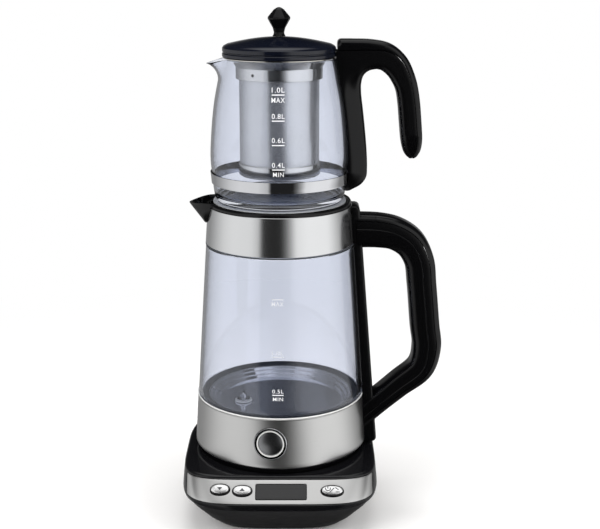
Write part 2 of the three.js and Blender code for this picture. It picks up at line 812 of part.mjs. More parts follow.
function frontButtonPieces() {
  const bezel = turned(
    [
      [bezelRadius - bezelWidth, -wellDepth / 2],
      [bezelRadius, -wellDepth / 2],
      [bezelRadius, bezelProud / 2],
      [bezelRadius - bezelWidth / 3, bezelProud],
      [bezelRadius - bezelWidth, bezelProud / 2],
    ],
    mediumSteps,
  );
  const well = turned(
    [
      [frontStemRadius + seatGap, -wellDepth],
      [wellOuter, -wellDepth],
      [wellOuter, -wellWall],
      [wellOuter - wellWall, -wellWall],
      [wellOuter - wellWall, -wellDepth + wellWall],
      [frontStemRadius + seatGap, -wellDepth + wellWall],
    ],
    mediumSteps,
  );
  const ringInner = frontButtonRadius + seatGap;
  const ringOuter = ringInner + buttonRingWidth;
  const trimRing = turned(
    [
      [ringInner, -frontButtonThick / 2],
      [ringOuter, -frontButtonThick / 2],
      [ringOuter, bezelProud / 2],
      [ringInner, bezelProud / 2],
    ],
    mediumSteps,
  );
  const stemEnd = -wellDepth - seatGap - frontButtonTravel / 4;
  const button = turned(
    [
      [0, stemEnd],
      [frontStemRadius, stemEnd],
      [frontStemRadius, -frontButtonThick],
      [frontButtonRadius + seatGap + buttonRingWidth / 2, -frontButtonThick],
      [frontButtonRadius + seatGap + buttonRingWidth / 2, -frontButtonThick / 2 - seatGap],
      [frontButtonRadius, -frontButtonThick / 2 - seatGap],
      [frontButtonRadius, 0],
      [frontButtonRadius * 0.6, -frontButtonDish * 0.8],
      [0, -frontButtonDish],
    ],
    mediumSteps,
  );
  const switchFace = -wellDepth - seatGap;
  const housing = cut(
    block(frontSwitchSide, frontSwitchSide, switchFace - frontSwitchDepth, switchFace),
    disc(frontStemRadius + seatGap, switchFace - 2 * frontButtonTravel, switchFace + cutOver),
  );
  const group = buttonGroup();
  return group.add(
    piece("button_bezel", bezel, finishes.polished),
    piece("button_well", well, finishes.satinBlack),
    piece("front_button", button, finishes.glossBlack),
    piece("front_button_ring", trimRing, finishes.polished),
    piece("front_switch", housing, finishes.satinBlack),
  );
}

// Kettle glass, open at both ends and necked inside the upper band
const glassOuter = (z) => bodyRadius(z) - glassSetback;
const glassFootRadius = bodyRadius(lowerBandTopZ) - sheetWall - seatGap;
const glassFootZ = lowerBandTopZ - glassTuck;
const glassInnerFoot = glassFootRadius - kettleGlassWall;
const neckRadius = glassOuter(glassShoulderZ) - glassNeckStep;
const glassTopZ = glassShoulderZ + glassNeck;

function kettleGlass() {
  const levels = [0.02, 0.5, 1].map((share) => lerp(lowerBandTopZ, glassShoulderZ, share));
  const outer = levels.map((z) => [glassOuter(z), z]);
  const inner = levels.map((z) => [glassOuter(z) - kettleGlassWall, z]).reverse();
  return turned([
    [glassFootRadius, glassFootZ],
    [glassFootRadius, lowerBandTopZ + seatGap],
    ...outer,
    [neckRadius, glassShoulderZ],
    [neckRadius, glassTopZ],
    [neckRadius - kettleGlassWall + glassNeckStep, glassTopZ],
    ...inner,
    [glassInnerFoot, lowerBandTopZ],
    [glassInnerFoot, glassFootZ],
  ]);
}

// Heating dish: a stepped steel dish sealed into the glass
const dishRimZ = lowerBandTopZ;
const dishFloorZ = dishRimZ - dishDepth;
const gasketOuter = glassInnerFoot - seatGap;
const gasketInner = gasketOuter - gasketWidth;
const dishRadius = gasketInner - seatGap;
const dishLine = dishShares.map(([r, z]) => [dishRadius - r * dishRun, dishRimZ - z * dishDepth]);
const elementRadius = dishRadius - dishRun - elementInset;
const probeReach = elementRadius - elementTube - probeRadius - probeSpacing;
const probeX = probeReach * Math.cos(degrees(probeTurn));
const probeY = probeReach * Math.sin(degrees(probeTurn));

function heatingDish() {
  const under = [...dishLine].reverse().map(([r, z]) => [r, z - dishSheet]);
  const dish = turned([[0, dishFloorZ - dishSheet], ...under, ...dishLine, [0, dishFloorZ]]);
  const hole = disc(probeRadius + seatGap, dishFloorZ - cutOver, dishRimZ).translate(probeX, probeY, 0);
  return cut(dish, hole);
}

const dishGasket = () =>
  turned([
    [gasketInner, dishRimZ - gasketHeight],
    [gasketOuter, dishRimZ - gasketHeight],
    [gasketOuter, dishRimZ],
    [lerp(gasketInner, gasketOuter, 0.6), dishRimZ + seatGap],
    [gasketInner, dishRimZ - seatGap],
  ]);

// Nylon ring that carries the glass and the gasket, notched for the button behind the band
function glassHolder() {
  const outer = glassFootRadius;
  const top = glassFootZ - seatGap;
  const step = gasketOuter - seatGap;
  const body = turned([
    [outer - holderWidth, top - holderHeight],
    [outer, top - holderHeight],
    [outer, top],
    [step, top],
    [step, dishRimZ - gasketHeight - seatGap],
    [outer - holderWidth, dishRimZ - gasketHeight - seatGap],
  ]);
  const notch = disc(bezelRadius + 2 * seatGap, -2 * wellDepth, wellDepth, mediumSteps);
  return cut(body, onButton(notch));
}

function heatingElement() {
  const middle = dishFloorZ - dishSheet - seatGap - elementTube;
  const flat = elementTube * Math.SQRT1_2;
  return turned(
    [
      [elementRadius - flat, middle - flat],
      [elementRadius, middle - elementTube],
      [elementRadius + flat, middle - flat],
      [elementRadius + elementTube, middle],
      [elementRadius + flat, middle + elementTube],
      [elementRadius - flat, middle + elementTube],
      [elementRadius - elementTube, middle],
    ],
    mediumSteps,
  );
}

function kettleControl() {
  const low = couplerTopZ + seatGap;
  const high = dishFloorZ - dishSheet - seatGap;
  return turned(
    [
      [0, low],
      [controlRadius, low],
      [controlRadius, high - controlNeckHeight],
      [controlNeckRadius, high - controlNeckHeight],
      [controlNeckRadius, high],
      [0, high],
    ],
    mediumSteps,
  );
}

const probeSealZ = dishFloorZ + seatGap;
const probeSeal = () =>
  ring(probeRadius + seatGap, probeSealRadius, probeSealZ, probeSealZ + probeSealThick, smallSteps);
function temperatureProbe() {
  const seat = probeSealZ + probeSealThick + seatGap;
  const shoulder = seat + probeSealThick;
  return turned(
    [
      [0, dishFloorZ - probeStem],
      [probeRadius, dishFloorZ - probeStem],
      [probeRadius, seat],
      [probeFlangeRadius, seat],
      [probeFlangeRadius, shoulder - seatGap],
      [probeRadius, shoulder],
      [probeRadius, seat + probeHeight - probeRadius / 2],
      [probeRadius / 2, seat + probeHeight],
      [0, seat + probeHeight],
    ],
    smallSteps,
  );
}

// Upper band, its seal and the collar with the pouring beak
const bandInner = (z) => bodyRadius(z) - sheetWall;
const upperSeal = () =>
  ring(neckRadius + seatGap, bodyRadius(upperSealZ), upperSealZ, upperSealZ + sealHeight);

// The beak as a solid: a keel from the tip down to the band, wide where it leaves the collar
function beakSolid(shrink, lift) {
  const top = collarTopZ + lift;
  const root = -(kettleTopRadius - ledgeWidth);
  const wide = beakHalfWidth - shrink;
  const cheekZ = collarTopZ - beakKeelDrop * beakCheekDropShare + shrink;
  const narrowX = lerp(root, -beakReach, beakNarrowPlaceShare);
  const corner = (x, y, z) => new THREE.Vector3(x, y, z);
  const keel = corner(-bodyRadius(collarTopZ - beakKeelDrop), 0, collarTopZ - beakKeelDrop + 2 * shrink);
  const tip = corner(-beakReach + shrink, 0, collarTopZ - beakTipDrop + 2 * lift);
  const points = [
    corner(root, -wide, top),
    corner(root, wide, top),
    corner(root, wide * beakCheekShare, cheekZ),
    corner(root, 0, keel.z),
    corner(root, -wide * beakCheekShare, cheekZ),
    keel,
    tip,
    corner(narrowX, -wide * beakNarrowShare, top),
    corner(narrowX, wide * beakNarrowShare, top),
  ];
  return new ConvexGeometry(points);
}

function collarRing() {
  const sleeveTop = bandInner(upperBandTopZ) - seatGap;
  const sleeveFoot = bandInner(glassTopZ) - seatGap;
  const outer = bodyRadius(upperBandTopZ) - seatGap;
  const mouth = outer - collarTopWidth - collarWall;
  return turned([
    [mouth - ledgeWidth, ledgeZ - ledgeThick],
    [sleeveTop - collarWall, ledgeZ - ledgeThick],
    [sleeveFoot - collarWall, glassTopZ + seatGap],
    [sleeveFoot, glassTopZ + seatGap],
    [sleeveTop, upperBandTopZ],
    [sleeveTop, collarZ],
    [outer, collarZ],
    [outer - seatGap, collarZ + collarRise / 2],
    [outer - collarWall / 2, collarTopZ],
    [outer - collarTopWidth, collarTopZ],
    [mouth, ledgeZ],
    [mouth - ledgeWidth, ledgeZ],
  ]);
}
const mouthRadius = bodyRadius(upperBandTopZ) - seatGap - collarTopWidth - collarWall;

function kettleCollar() {
  const core = disc(mouthRadius - ledgeWidth / 8, upperBandZ, collarTopZ + cutOver, roundSteps);
  const beak = cut(beakSolid(0, 0), core);
  const channel = beakSolid(beakWall, cutOver);
  const bandSpace = turned([
    [0, upperBandZ - cutOver],
    [bodyRadius(upperBandZ) + seatGap, upperBandZ - cutOver],
    [bodyRadius(upperBandTopZ) + seatGap, collarZ],
    [0, collarZ],
  ]);
  const outside = cut(beak, bandSpace);
  return cut(join(collarRing(), outside), channel);
}

function upperBand() {
  const low = bodyRadius(upperBandZ);
  const high = bodyRadius(upperBandTopZ);
  return turned([
    [low, upperBandZ],
    [high, upperBandTopZ],
    [high - sheetWall, upperBandTopZ],
    [low - sheetWall, upperBandZ],
  ]);
}

// Kettle lid: a stepped steel disc on a silicone ring, pierced for steam; the teapot stands on it
const lidSeatZ = ledgeZ + seatGap;
const lidPlateZ = lidSeatZ + lidGasketThick + seatGap;
const lidOuter = mouthRadius - seatGap;
function kettleLid() {
  const top = lidPlateZ + lidSheet;
  const rest = lidOuter - lidRestWidth;
  const low = top - lidStepDepth;
  const above = [
    [lidOuter, top],
    [rest, top],
    [lidStepRadius, top - lidSheet],
    [lidStepRadius - lidSheet, low],
    [lidCrownRadius, low],
    [lidCrownRadius - lidSheet, top - lidSheet],
    [0, top - lidSheet],
  ];
  const below = above.map(([r, z]) => [r, z - lidSheet]).reverse();
  const plate = turned([...below, ...above]);
  const holes = Array.from({ length: steamHoleCount }, (_, k) => {
    const angle = (2 * Math.PI * k) / steamHoleCount;
    const reach = (lidStepRadius + lidCrownRadius) / 2;
    return disc(steamHoleRadius, low - cutOver, top + cutOver).translate(
      reach * Math.cos(angle),
      reach * Math.sin(angle),
      0,
    );
  });
  return cut(plate, ...holes);
}
const kettleLidSeal = () =>
  ring(mouthRadius - ledgeWidth + seatGap, lidOuter - seatGap, lidSeatZ, lidSeatZ + lidGasketThick);

// Kettle handle: a spine down the side of the kettle and a loop of changing section
const spineFootZ = deckZ + spineFootLift;
const spineTopZ = upperBandTopZ - seatGap;
const loopX = kettleTopRadius + spineTopThick;
const loopFootZ = deckZ + loopFootLift;
const loopHeight = upperBandTopZ - loopTopDrop - loopFootZ;
const loopShares = [
  [-0.04, 1, 1],
  [0.29, 0.996, 0.977],
  [0.51, 0.98, 0.943],
  [0.726, 0.93, 0.923],
  [0.86, 0.84, 0.88],
  [0.905, 0.72, 0.86],
  [0.965, 0.5, 0.87],
  [1, 0.385, 0.86],
  [0.92, 0.272, 0.8],
  [0.6, 0.175, 0.73],
  [0.27, 0.075, 0.7],
  [-0.03, -0.02, 0.7],
];
const loopStations = smoothStations(
  loopShares.map(([x, z, thick]) => [loopX + x * loopReach, loopFootZ + z * loopHeight, thick * loopThick]),
  loopStationCount,
);

// The outer part of a swept handle, from its back to a seam
function seamBar(stations, depth, width) {
  return sweptBar(
    stations.map(([x, z, thick], k) => {
      const before = stations[Math.max(k - 1, 0)];
      const after = stations[Math.min(k + 1, stations.length - 1)];
      const way = new THREE.Vector2(after[0] - before[0], after[1] - before[1]).normalize();
      const shift = thick / 2 - depth / 2 + cutOver / 2;
      return [x - shift * way.y, z + shift * way.x, depth + cutOver, width];
    }),
    seamRingPoints,
  );
}
const gripCapDepth = 6;
const gripSeam = loopStations.slice(2, -2);
const handleScrewX = bodyRadius(spineFootZ) + spineFootThick / 2;
const kettleLoop = () => sweptBar(loopStations.map((station) => [...station, loopWidth]));

function kettleHandle() {
  const footX = bodyRadius(spineFootZ) + spineFootThick;
  const topX = bodyRadius(spineTopZ) + spineTopThick;
  const inner = kettleTopRadius - 2 * spineFootThick;
  const side = new THREE.Shape();
  side.moveTo(inner, spineFootZ);
  side.lineTo(footX - 2 * spineBevel, spineFootZ);
  side.quadraticCurveTo(footX, spineFootZ, footX, spineFootZ + 2 * spineBevel);
  side.lineTo(topX, spineTopZ - 2 * spineBevel);
  side.quadraticCurveTo(topX, spineTopZ, topX - 2 * spineBevel, spineTopZ);
  side.lineTo(inner, spineTopZ);
  const spine = bevelledPlate(side, spineWidth, spineBevel);
  const levels = [0, 0.5, 1].map((share) => lerp(lowerBandZ, upperBandTopZ, share));
  const body = turned([
    [0, spineFootZ - cutOver],
    [bodyRadius(lowerBandZ) + seatGap, spineFootZ - cutOver],
    ...levels.map((z) => [bodyRadius(z) + seatGap, z]),
    [bodyRadius(upperBandTopZ) + seatGap, upperBandTopZ + cutOver],
    [0, upperBandTopZ + cutOver],
  ]);
  const seam = seamBar(gripSeam, gripCapDepth + seatGap, 2 * loopWidth);
  const screwHole = disc(handleScrewRadius + seatGap, spineFootZ - cutOver, spineFootZ + handleScrewLength);
  return cut(join(spine, kettleLoop()), body, seam, screwHole.translate(handleScrewX, 0, 0));
}
const handleScrew = () =>
  disc(handleScrewRadius, spineFootZ + seatGap, spineFootZ + handleScrewLength - seatGap).translate(
    handleScrewX,
    0,
    0,
  );

// The cap is the part of the loop outside the seam, drawn in a little at its two ends
const kettleHandleCap = () =>
  cut(common(kettleLoop(), seamBar(gripSeam, gripCapDepth, 2 * loopWidth)), gripEnds(gripSeam, loopThick));

// Thin slabs across the two ends of a seam, which leave the cap its end gaps
function gripEnds(stations, size) {
  const slab = ([x, z], [nextX, nextZ]) =>
    new THREE.BoxGeometry(2 * seatGap, 2 * size, 2 * size)
      .rotateY(-Math.atan2(nextZ - z, nextX - x))
      .translate(x, 0, z);
  const last = stations.length - 1;
  return join(slab(stations[0], stations[1]), slab(stations[last], stations[last - 1]));
}

// Teapot
const teapotShares = [
  [0.013, 0.93],
  [0.064, 0.955],
  [0.17, 0.977],
  [0.3, 1],
  [0.5, 0.98],
  [0.7, 0.934],
  [0.85, 0.875],
  [0.93, 0.845],
  [1, 0.815],
];
const teapotLine = teapotShares.map(([z, r]) => [r * teapotRadius, teapotZ + z * teapotHeight]);

const teapotRimRadius = teapotLine[teapotLine.length - 1][0];
const lidRadius = teapotRimRadius - lidSetback;

// Radius of the teapot's glass at a height, on its chosen line
function teapotOuter(z) {
  const next = teapotLine.findIndex(([, height]) => height >= z);
  if (next <= 0) return teapotLine[0][0];
  const [before, after] = [teapotLine[next - 1], teapotLine[next]];
  return lerp(before[0], after[0], (z - before[1]) / (after[1] - before[1]));
}

function teapotGlass() {
  const inner = teapotLine.slice(1).map(([r, z]) => [r - teapotWall, z]);
  const footRadius = teapotLine[0][0] - teapotFootInset;
  const profile = [
    [0, teapotZ + teapotFloor / 2],
    [footRadius - teapotFloor, teapotZ],
    [footRadius, teapotZ],
    ...teapotLine,
    ...inner.reverse(),
    [inner[inner.length - 1][0] - teapotFloor / 2, teapotZ + floorEdgeShare * teapotFloor],
    [0, teapotZ + floorMiddleShare * teapotFloor],
  ];
  const jug = turned(profile);
  const place = jug.attributes.position;
  const foot = teapotRimZ - lipHeight;
  for (let i = 0; i < place.count; i++) {
    const [x, y, z] = [place.getX(i), place.getY(i), place.getZ(i)];
    const turn = Math.PI - Math.abs(Math.atan2(y, x));
    if (z <= foot || turn > degrees(lipHalfAngle)) continue;
    const across = Math.cos((Math.PI / 2) * (turn / degrees(lipHalfAngle))) ** 2;
    const push = lipReach * across * ((z - foot) / lipHeight) ** lipExponent;
    const radius = Math.hypot(x, y);
    place.setXY(i, x * (1 + push / radius), y * (1 + push / radius));
  }
  return geometryOf(solidOf(jug));
}

const hoopZ = teapotZ + hoopLift;
const hoopRadius = (z) => teapotOuter(z) + hoopGroove;
const teapotHoop = () =>
  turned([
    [hoopRadius(hoopZ) - hoopSheet / 2, hoopZ],
    [hoopRadius(hoopZ) + hoopSheet / 2, hoopZ],
    [hoopRadius(hoopZ + hoopHeight) + hoopSheet / 2, hoopZ + hoopHeight],
    [hoopRadius(hoopZ + hoopHeight) - hoopSheet / 2, hoopZ + hoopHeight],
  ]);

// Teapot handle: a leg along the glass and a hook that ends free
const hookX = teapotRadius + hookSetOut;
const hookTopZ = teapotRimZ + hookRise;
const hookDrop = hookDropShare * teapotHeight;
const hookShares = [
  [0, 0, 1],
  [0.335, 0.002, 0.96],
  [0.558, 0.028, 0.92],
  [0.716, 0.105, 0.88],
  [0.825, 0.215, 0.8],
  [0.89, 0.32, 0.745],
  [0.93, 0.46, 0.74],
  [0.961, 0.652, 0.74],
  [0.985, 0.82, 0.72],
  [0.995, 0.91, 0.62],
  [1, 0.97, 0.4],
  [1, 1, 0.16],
];
const hookStations = smoothStations(
  hookShares.map(([x, z, thick]) => [hookX + x * hookReach, hookTopZ - z * hookDrop, thick * hookThick]),
  hookStationCount,
);
const hookWide = (thick) => hookWidth * Math.min(1, 0.35 + thick / hookThick);
const teapotHook = () => sweptBar(hookStations.map(([x, z, thick]) => [x, z, thick, hookWide(thick)]));
const hookCapDepth = 4.5;
const hookSeam = hookStations.slice(3, -1);
const legShares = [
  [0.1, 0.069],
  [0.64, 0.11],
  [0.92, 0.164],
  [0.96, 0.23],
  [0.92, 0.358],
  [0.82, 0.5],
  [0.7, 0.641],
  [0.59, 0.76],
  [0.585, 0.83],
  [0.7, 0.885],
  [0.98, 0.917],
  [1.38, 0.928],
];

function teapotHandle() {
  const side = new THREE.Shape();
  const at = ([x, z]) => new THREE.Vector2(hookX + x * legReach, teapotZ + z * teapotHeight);
  const inner = teapotRadius - legReach;
  const top = hookTopZ + hookThick / 2 - seatGap;
  const last = at(legShares[legShares.length - 1]);
  side.moveTo(inner, at(legShares[0]).y);
  side.lineTo(...at(legShares[0]).toArray());
  side.splineThru(legShares.slice(1).map(at));
  side.lineTo(last.x, top - legBevel);
  side.lineTo(last.x - 2 * legBevel, top);
  side.lineTo(inner, top);
  const leg = bevelledPlate(side, legWidth, legBevel);
  const glass = turned([
    [0, teapotZ],
    ...teapotLine.map(([r, z]) => [r + seatGap, z]),
    [lidRadius + lidClearance, teapotRimZ],
    [lidRadius + lidClearance, top + cutOver],
    [0, top + cutOver],
  ]);
  const hoopSpace = ring(
    teapotRadius / 2,
    hoopRadius(hoopZ + hoopHeight) + hoopSheet / 2 + seatGap,
    hoopZ - seatGap,
    hoopZ + hoopHeight + seatGap,
  );
  const seam = seamBar(hookSeam, hookCapDepth + seatGap, 2 * hookWidth);
  return cut(join(leg, teapotHook()), glass, hoopSpace, seam);
}
const teapotHandleCap = () =>
  cut(common(teapotHook(), seamBar(hookSeam, hookCapDepth, 2 * hookWidth)), gripEnds(hookSeam, hookThick));

// Filter basket: a flanged and stepped collar, a fine mesh drum and a pressed foot
const flangeRadius = teapotRimRadius - flangeSetback;
const flareRadius = flangeRadius - flangeWidth;
const filterRingRadius = flareRadius - flareRun;
const meshRadius = filterRingRadius - meshStep;
const skirtRadius = flareRadius - skirtClearance;
const filterFlangeZ = teapotRimZ + seatGap;
const filterLedgeZ = filterFlangeZ - flareDrop;
const filterRingZ = filterLedgeZ - filterRingHeight;
const filterFootZ = teapotZ + filterFootLift;
const drumInner = meshRadius - meshWall;
function filterCollar() {
  const sheet = sheetWall;
  const body = turned([
    [meshRadius + seatGap, filterRingZ],
    [filterRingRadius, filterRingZ],
    [filterRingRadius, filterLedgeZ],
    [flareRadius, filterFlangeZ],
    [flangeRadius, filterFlangeZ],
    [flangeRadius, filterFlangeZ + sheet],
    [flareRadius, filterFlangeZ + sheet],
    [filterRingRadius, filterLedgeZ + sheet],
    [filterRingRadius - sheet, filterLedgeZ],
    [filterRingRadius - sheet, filterRingZ + sheet],
    [meshRadius + seatGap, filterRingZ + sheet],
  ]);
  const turn = degrees(ventTurn);
  const vent = new THREE.CylinderGeometry(ventRadius, ventRadius, 2 * cutOver, smallSteps)
    .rotateZ(Math.PI / 2)
    .translate(filterRingRadius, 0, filterRingZ + filterRingHeight / 2)
    .rotateZ(turn);
  return cut(body, vent);
}
const filterMesh = () =>
  ring(drumInner, meshRadius, filterFootZ + 2 * sheetWall, filterRingZ + 2 * sheetWall);
const filterFoot = () =>
  turned([
    [0, filterFootZ],
    [meshRadius + seatGap, filterFootZ],
    [meshRadius + seatGap + sheetWall, filterFootZ + sheetWall],
    [meshRadius + seatGap + sheetWall, filterFootZ + filterFootHeight],
    [meshRadius + seatGap, filterFootZ + filterFootHeight],
    [meshRadius + seatGap, filterFootZ + sheetWall],
    [0, filterFootZ + sheetWall],
  ]);

// Teapot lid with its plug, seal, knob and the screw that holds the knob
const lidZ = filterFlangeZ + sheetWall + seatGap;
const lidEdgeZ = lidZ + lidRimHeight;
const lidTopZ = lidEdgeZ + lidDomeRise;
const knobZ = lidTopZ + seatGap;
function teapotLid() {
  const ridge = lidRimHeight / 3;
  const dome = lidDomeShares.map((share) => [
    lidRadius * share,
    lidEdgeZ + lidDomeRise * (1 - share ** 2 * lidDomeEdgeShare) ** lidDomeExponent,
  ]);
  return turned([
    [screwBore, lidTopZ - lidWall],
    [skirtRadius * 0.7, lidEdgeZ],
    [skirtRadius - skirtWall, lidEdgeZ - ridge],
    [skirtRadius - skirtWall, lidZ - skirtDepth],
    [skirtRadius, lidZ - skirtDepth],
    [skirtRadius, lidZ],
    [lidRadius - lidRidge, lidZ],
    [lidRadius, lidZ + lidRidge],
    [lidRadius, lidZ + ridge],
    [lidRadius - lidRidge, lidZ + 1.2 * ridge],
    [lidRadius - lidRidge, lidEdgeZ - lidRidge],
    [lidRadius - 2 * lidRidge, lidEdgeZ],
    ...dome,
    [knobFootRadius + lidRidge, lidTopZ],
    [screwBore, lidTopZ],
  ]);
}
const lidSeal = () => {
  const low = lidZ - 0.7 * skirtDepth;
  return ring(skirtRadius + seatGap, skirtRadius + seatGap + lidSealThick, low, low + lidSealHeight);
};

function lidKnob() {
  const bore = knobScrewRadius + seatGap;
  return turned(
    [
      [0, knobZ + knobScrewReach],
      [bore, knobZ + knobScrewReach],
      [bore, knobZ],
      [knobFootRadius, knobZ],
      [knobNeckRadius, knobZ + 0.1 * knobHeight],
      [knobNeckRadius + seatGap, knobZ + 0.2 * knobHeight],
      [knobRadius, knobZ + 0.61 * knobHeight],
      [knobRadius - seatGap, knobZ + 0.67 * knobHeight],
      [knobRadius * 0.44, knobZ + 0.92 * knobHeight],
      [knobRadius * 0.17, knobZ + 0.99 * knobHeight],
      [0, knobZ + knobHeight],
    ],
    knobSides,
  );
}
const knobScrew = () =>
  join(
    disc(knobScrewHeadRadius, lidTopZ - lidWall - seatGap - knobScrewHead, lidTopZ - lidWall - seatGap),
    disc(knobScrewRadius, lidTopZ - lidWall - knobScrewHead, knobZ + knobScrewReach - seatGap),
  );

// The whole tea maker
function makeKettle() {
  const kettle = new THREE.Group();
  kettle.add(
    piece("kettle_coupler", kettleCoupler(), finishes.satinBlack),
    piece("kettle_bottom_cover", kettleBottomCover(), finishes.satinBlack),
    piece("lower_band", lowerBand(), finishes.brushed),
    frontButtonPieces(),
    piece("glass_holder", glassHolder(), finishes.nylon),
    piece("kettle_glass", kettleGlass(), finishes.glass),
    piece("heating_dish", heatingDish(), finishes.polished),
    piece("dish_gasket", dishGasket(), finishes.silicone),
    piece("heating_element", heatingElement(), finishes.zinc),
    piece("kettle_control", kettleControl(), finishes.nylon),
    piece("probe_seal", probeSeal().translate(probeX, probeY, 0), finishes.whiteSilicone),
    piece("temperature_probe", temperatureProbe().translate(probeX, probeY, 0), finishes.polished),
    piece("upper_seal", upperSeal(), finishes.silicone),
    piece("upper_band", upperBand(), finishes.brushed),
    piece("kettle_collar", kettleCollar(), finishes.satinBlack),
    piece("kettle_handle", kettleHandle(), finishes.satinBlack),
    piece("kettle_handle_cap", kettleHandleCap(), finishes.glossBlack),
    piece("kettle_handle_screw", handleScrew(), finishes.zinc),
    piece("kettle_lid", kettleLid(), finishes.brushed),
    piece("kettle_lid_seal", kettleLidSeal(), finishes.silicone),
  );
  return kettle;
}

function makeTeapot() {
  const teapot = new THREE.Group();
  teapot.add(
    piece("teapot_glass", teapotGlass(), finishes.glass),
    piece("teapot_hoop", teapotHoop(), finishes.polished),
    piece("teapot_handle", teapotHandle(), finishes.satinBlack),
    piece("teapot_handle_cap", teapotHandleCap(), finishes.glossBlack),
    piece("filter_collar", filterCollar(), finishes.brushed),
    piece("filter_mesh", filterMesh(), finishes.strainer),
    piece("filter_foot", filterFoot(), finishes.brushed),
    piece("teapot_lid", teapotLid(), finishes.glossBlack),
    piece("lid_seal", lidSeal(), finishes.silicone),
    piece("lid_knob", lidKnob(), finishes.satinBlack),
    piece("knob_screw", knobScrew(), finishes.zinc),
  );
  return teapot;
}

const teaMaker = new THREE.Group();
teaMaker.add(makeBase(), makeKettle(), makeTeapot());
export default teaMaker;
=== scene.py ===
"""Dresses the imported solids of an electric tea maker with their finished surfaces.

A glass kettle stands on a powered base with a sloped console, and a glass teapot with a filter basket
stands on the kettle. Sizes in the classes are millimetres; meshes are built in metres, in the frame of
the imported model: Z up, the console towards -Y, both handles towards +X. WELD and SHORT_EDGE are metres:
points nearer than the first become one, and edges shorter than the second go.
"""
import logging
import math
from dataclasses import dataclass
from enum import Enum
from typing import Callable, Sequence

import bmesh
import bpy
import numpy as np
from mathutils import Matrix, Vector
from mathutils.geometry import delaunay_2d_cdt


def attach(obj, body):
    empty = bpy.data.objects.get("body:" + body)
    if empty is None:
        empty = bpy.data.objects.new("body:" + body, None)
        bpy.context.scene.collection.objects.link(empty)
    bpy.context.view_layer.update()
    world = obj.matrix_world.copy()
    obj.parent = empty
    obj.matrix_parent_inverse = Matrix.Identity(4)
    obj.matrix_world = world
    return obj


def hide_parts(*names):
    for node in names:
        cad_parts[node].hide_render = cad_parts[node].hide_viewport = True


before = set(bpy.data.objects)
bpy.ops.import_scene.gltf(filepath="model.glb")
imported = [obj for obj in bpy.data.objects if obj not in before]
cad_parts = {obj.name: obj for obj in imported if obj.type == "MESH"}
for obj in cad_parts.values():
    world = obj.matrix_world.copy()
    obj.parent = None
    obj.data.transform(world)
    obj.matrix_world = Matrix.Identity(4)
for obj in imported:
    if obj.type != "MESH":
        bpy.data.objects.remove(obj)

logging.basicConfig(level=logging.INFO, format="%(message)s")
LOG = logging.getLogger("tea_maker")

SCENE = bpy.context.scene
MM = 0.001
WELD = 2e-6
SHORT_EDGE = 1e-6

Point = tuple[float, float, float]
Flat = tuple[float, float]
Face = tuple[int, ...]
Profile = Sequence[Sequence[float]]
Surface = Callable[[Flat, float], Sequence[float]]
Piece = bpy.types.Object
Node = bpy.types.Node
Socket = bpy.types.NodeSocket
NodeTree = bpy.types.NodeTree


# Shared sizes


@dataclass(frozen=True)
class Plan:
    """Heights and radii that several sub-assemblies share, in millimetres."""

    tray_top: float = 30.0
    housing_low: float = 30.3
    rim_top: float = 35.5
    fascia_top: float = 53.0
    deck: float = 55.0
    dock: float = 51.0
    dock_radius: float = 73.6
    half_width: float = 86.0
    front_depth: float = 95.6
    back_depth: float = 90.0
    band_low: float = 59.5
    band_top: float = 104.5
    shoulder: float = 241.5
    upper_band_low: float = 243.3
    upper_band_top: float = 276.3
    collar_top: float = 279.9
    foot_radius: float = 76.9
    top_radius: float = 62.5
    bulge: float = 0.3
    teapot_low: float = 280.2
    teapot_height: float = 121.0
    teapot_radius: float = 59.3

    def body_radius(self, z: float) -> float:
        """Outer radius of the kettle at a height."""
        share = (z - self.band_low) / (self.upper_band_top - self.band_low)
        return lerp(self.foot_radius, self.top_radius, share) + 4 * self.bulge * share * (1 - share)

    @property
    def teapot_rim(self) -> float:
        """Height of the teapot's rim."""
        return self.teapot_low + self.teapot_height


def lerp(a: float, b: float, share: float) -> float:
    """Value at a share of the way from a to b."""
    return a + (b - a) * share


def clamp(value: float, low: float = 0.0, high: float = 1.0) -> float:
    """Value kept between two limits."""
    return max(low, min(high, value))


def smooth(value: float) -> float:
    """Soft step from 0 to 1."""
    value = clamp(value)
    return value * value * (3 - 2 * value)


def signed_power(value: float, exponent: float) -> float:
    """Power of a value that keeps its sign."""
    return math.copysign(abs(value) ** exponent, value)


def spline(points: Profile, count: int) -> list[tuple[float, ...]]:
    """Even samples on a smooth curve through chosen points.

    Args:
        points: Chosen points, each with the same number of values.
        count: Number of steps along the curve.

    Returns:
        count + 1 points, the first and last being the chosen ends.
    """
    given = np.array(points, dtype=float)
    ends = np.vstack([2 * given[0] - given[1], given, 2 * given[-1] - given[-2]])
    made = []
    for step in range(count + 1):
        place = step / count * (len(given) - 1)
        k = min(int(place), len(given) - 2)
        p0, p1, p2, p3 = ends[k : k + 4]
        t0 = 0.0
        t1 = t0 + math.sqrt(max(np.linalg.norm(p1 - p0), 1e-6))
        t2 = t1 + math.sqrt(max(np.linalg.norm(p2 - p1), 1e-6))
        t3 = t2 + math.sqrt(max(np.linalg.norm(p3 - p2), 1e-6))
        t = lerp(t1, t2, place - k)
        a1 = (t1 - t) / (t1 - t0) * p0 + (t - t0) / (t1 - t0) * p1
        a2 = (t2 - t) / (t2 - t1) * p1 + (t - t1) / (t2 - t1) * p2
        a3 = (t3 - t) / (t3 - t2) * p2 + (t - t2) / (t3 - t2) * p3
        b1 = (t2 - t) / (t2 - t0) * a1 + (t - t0) / (t2 - t0) * a2
        b2 = (t3 - t) / (t3 - t1) * a2 + (t - t1) / (t3 - t1) * a3
        made.append(tuple(float(c) for c in (t2 - t) / (t2 - t1) * b1 + (t - t1) / (t2 - t1) * b2))
    return made


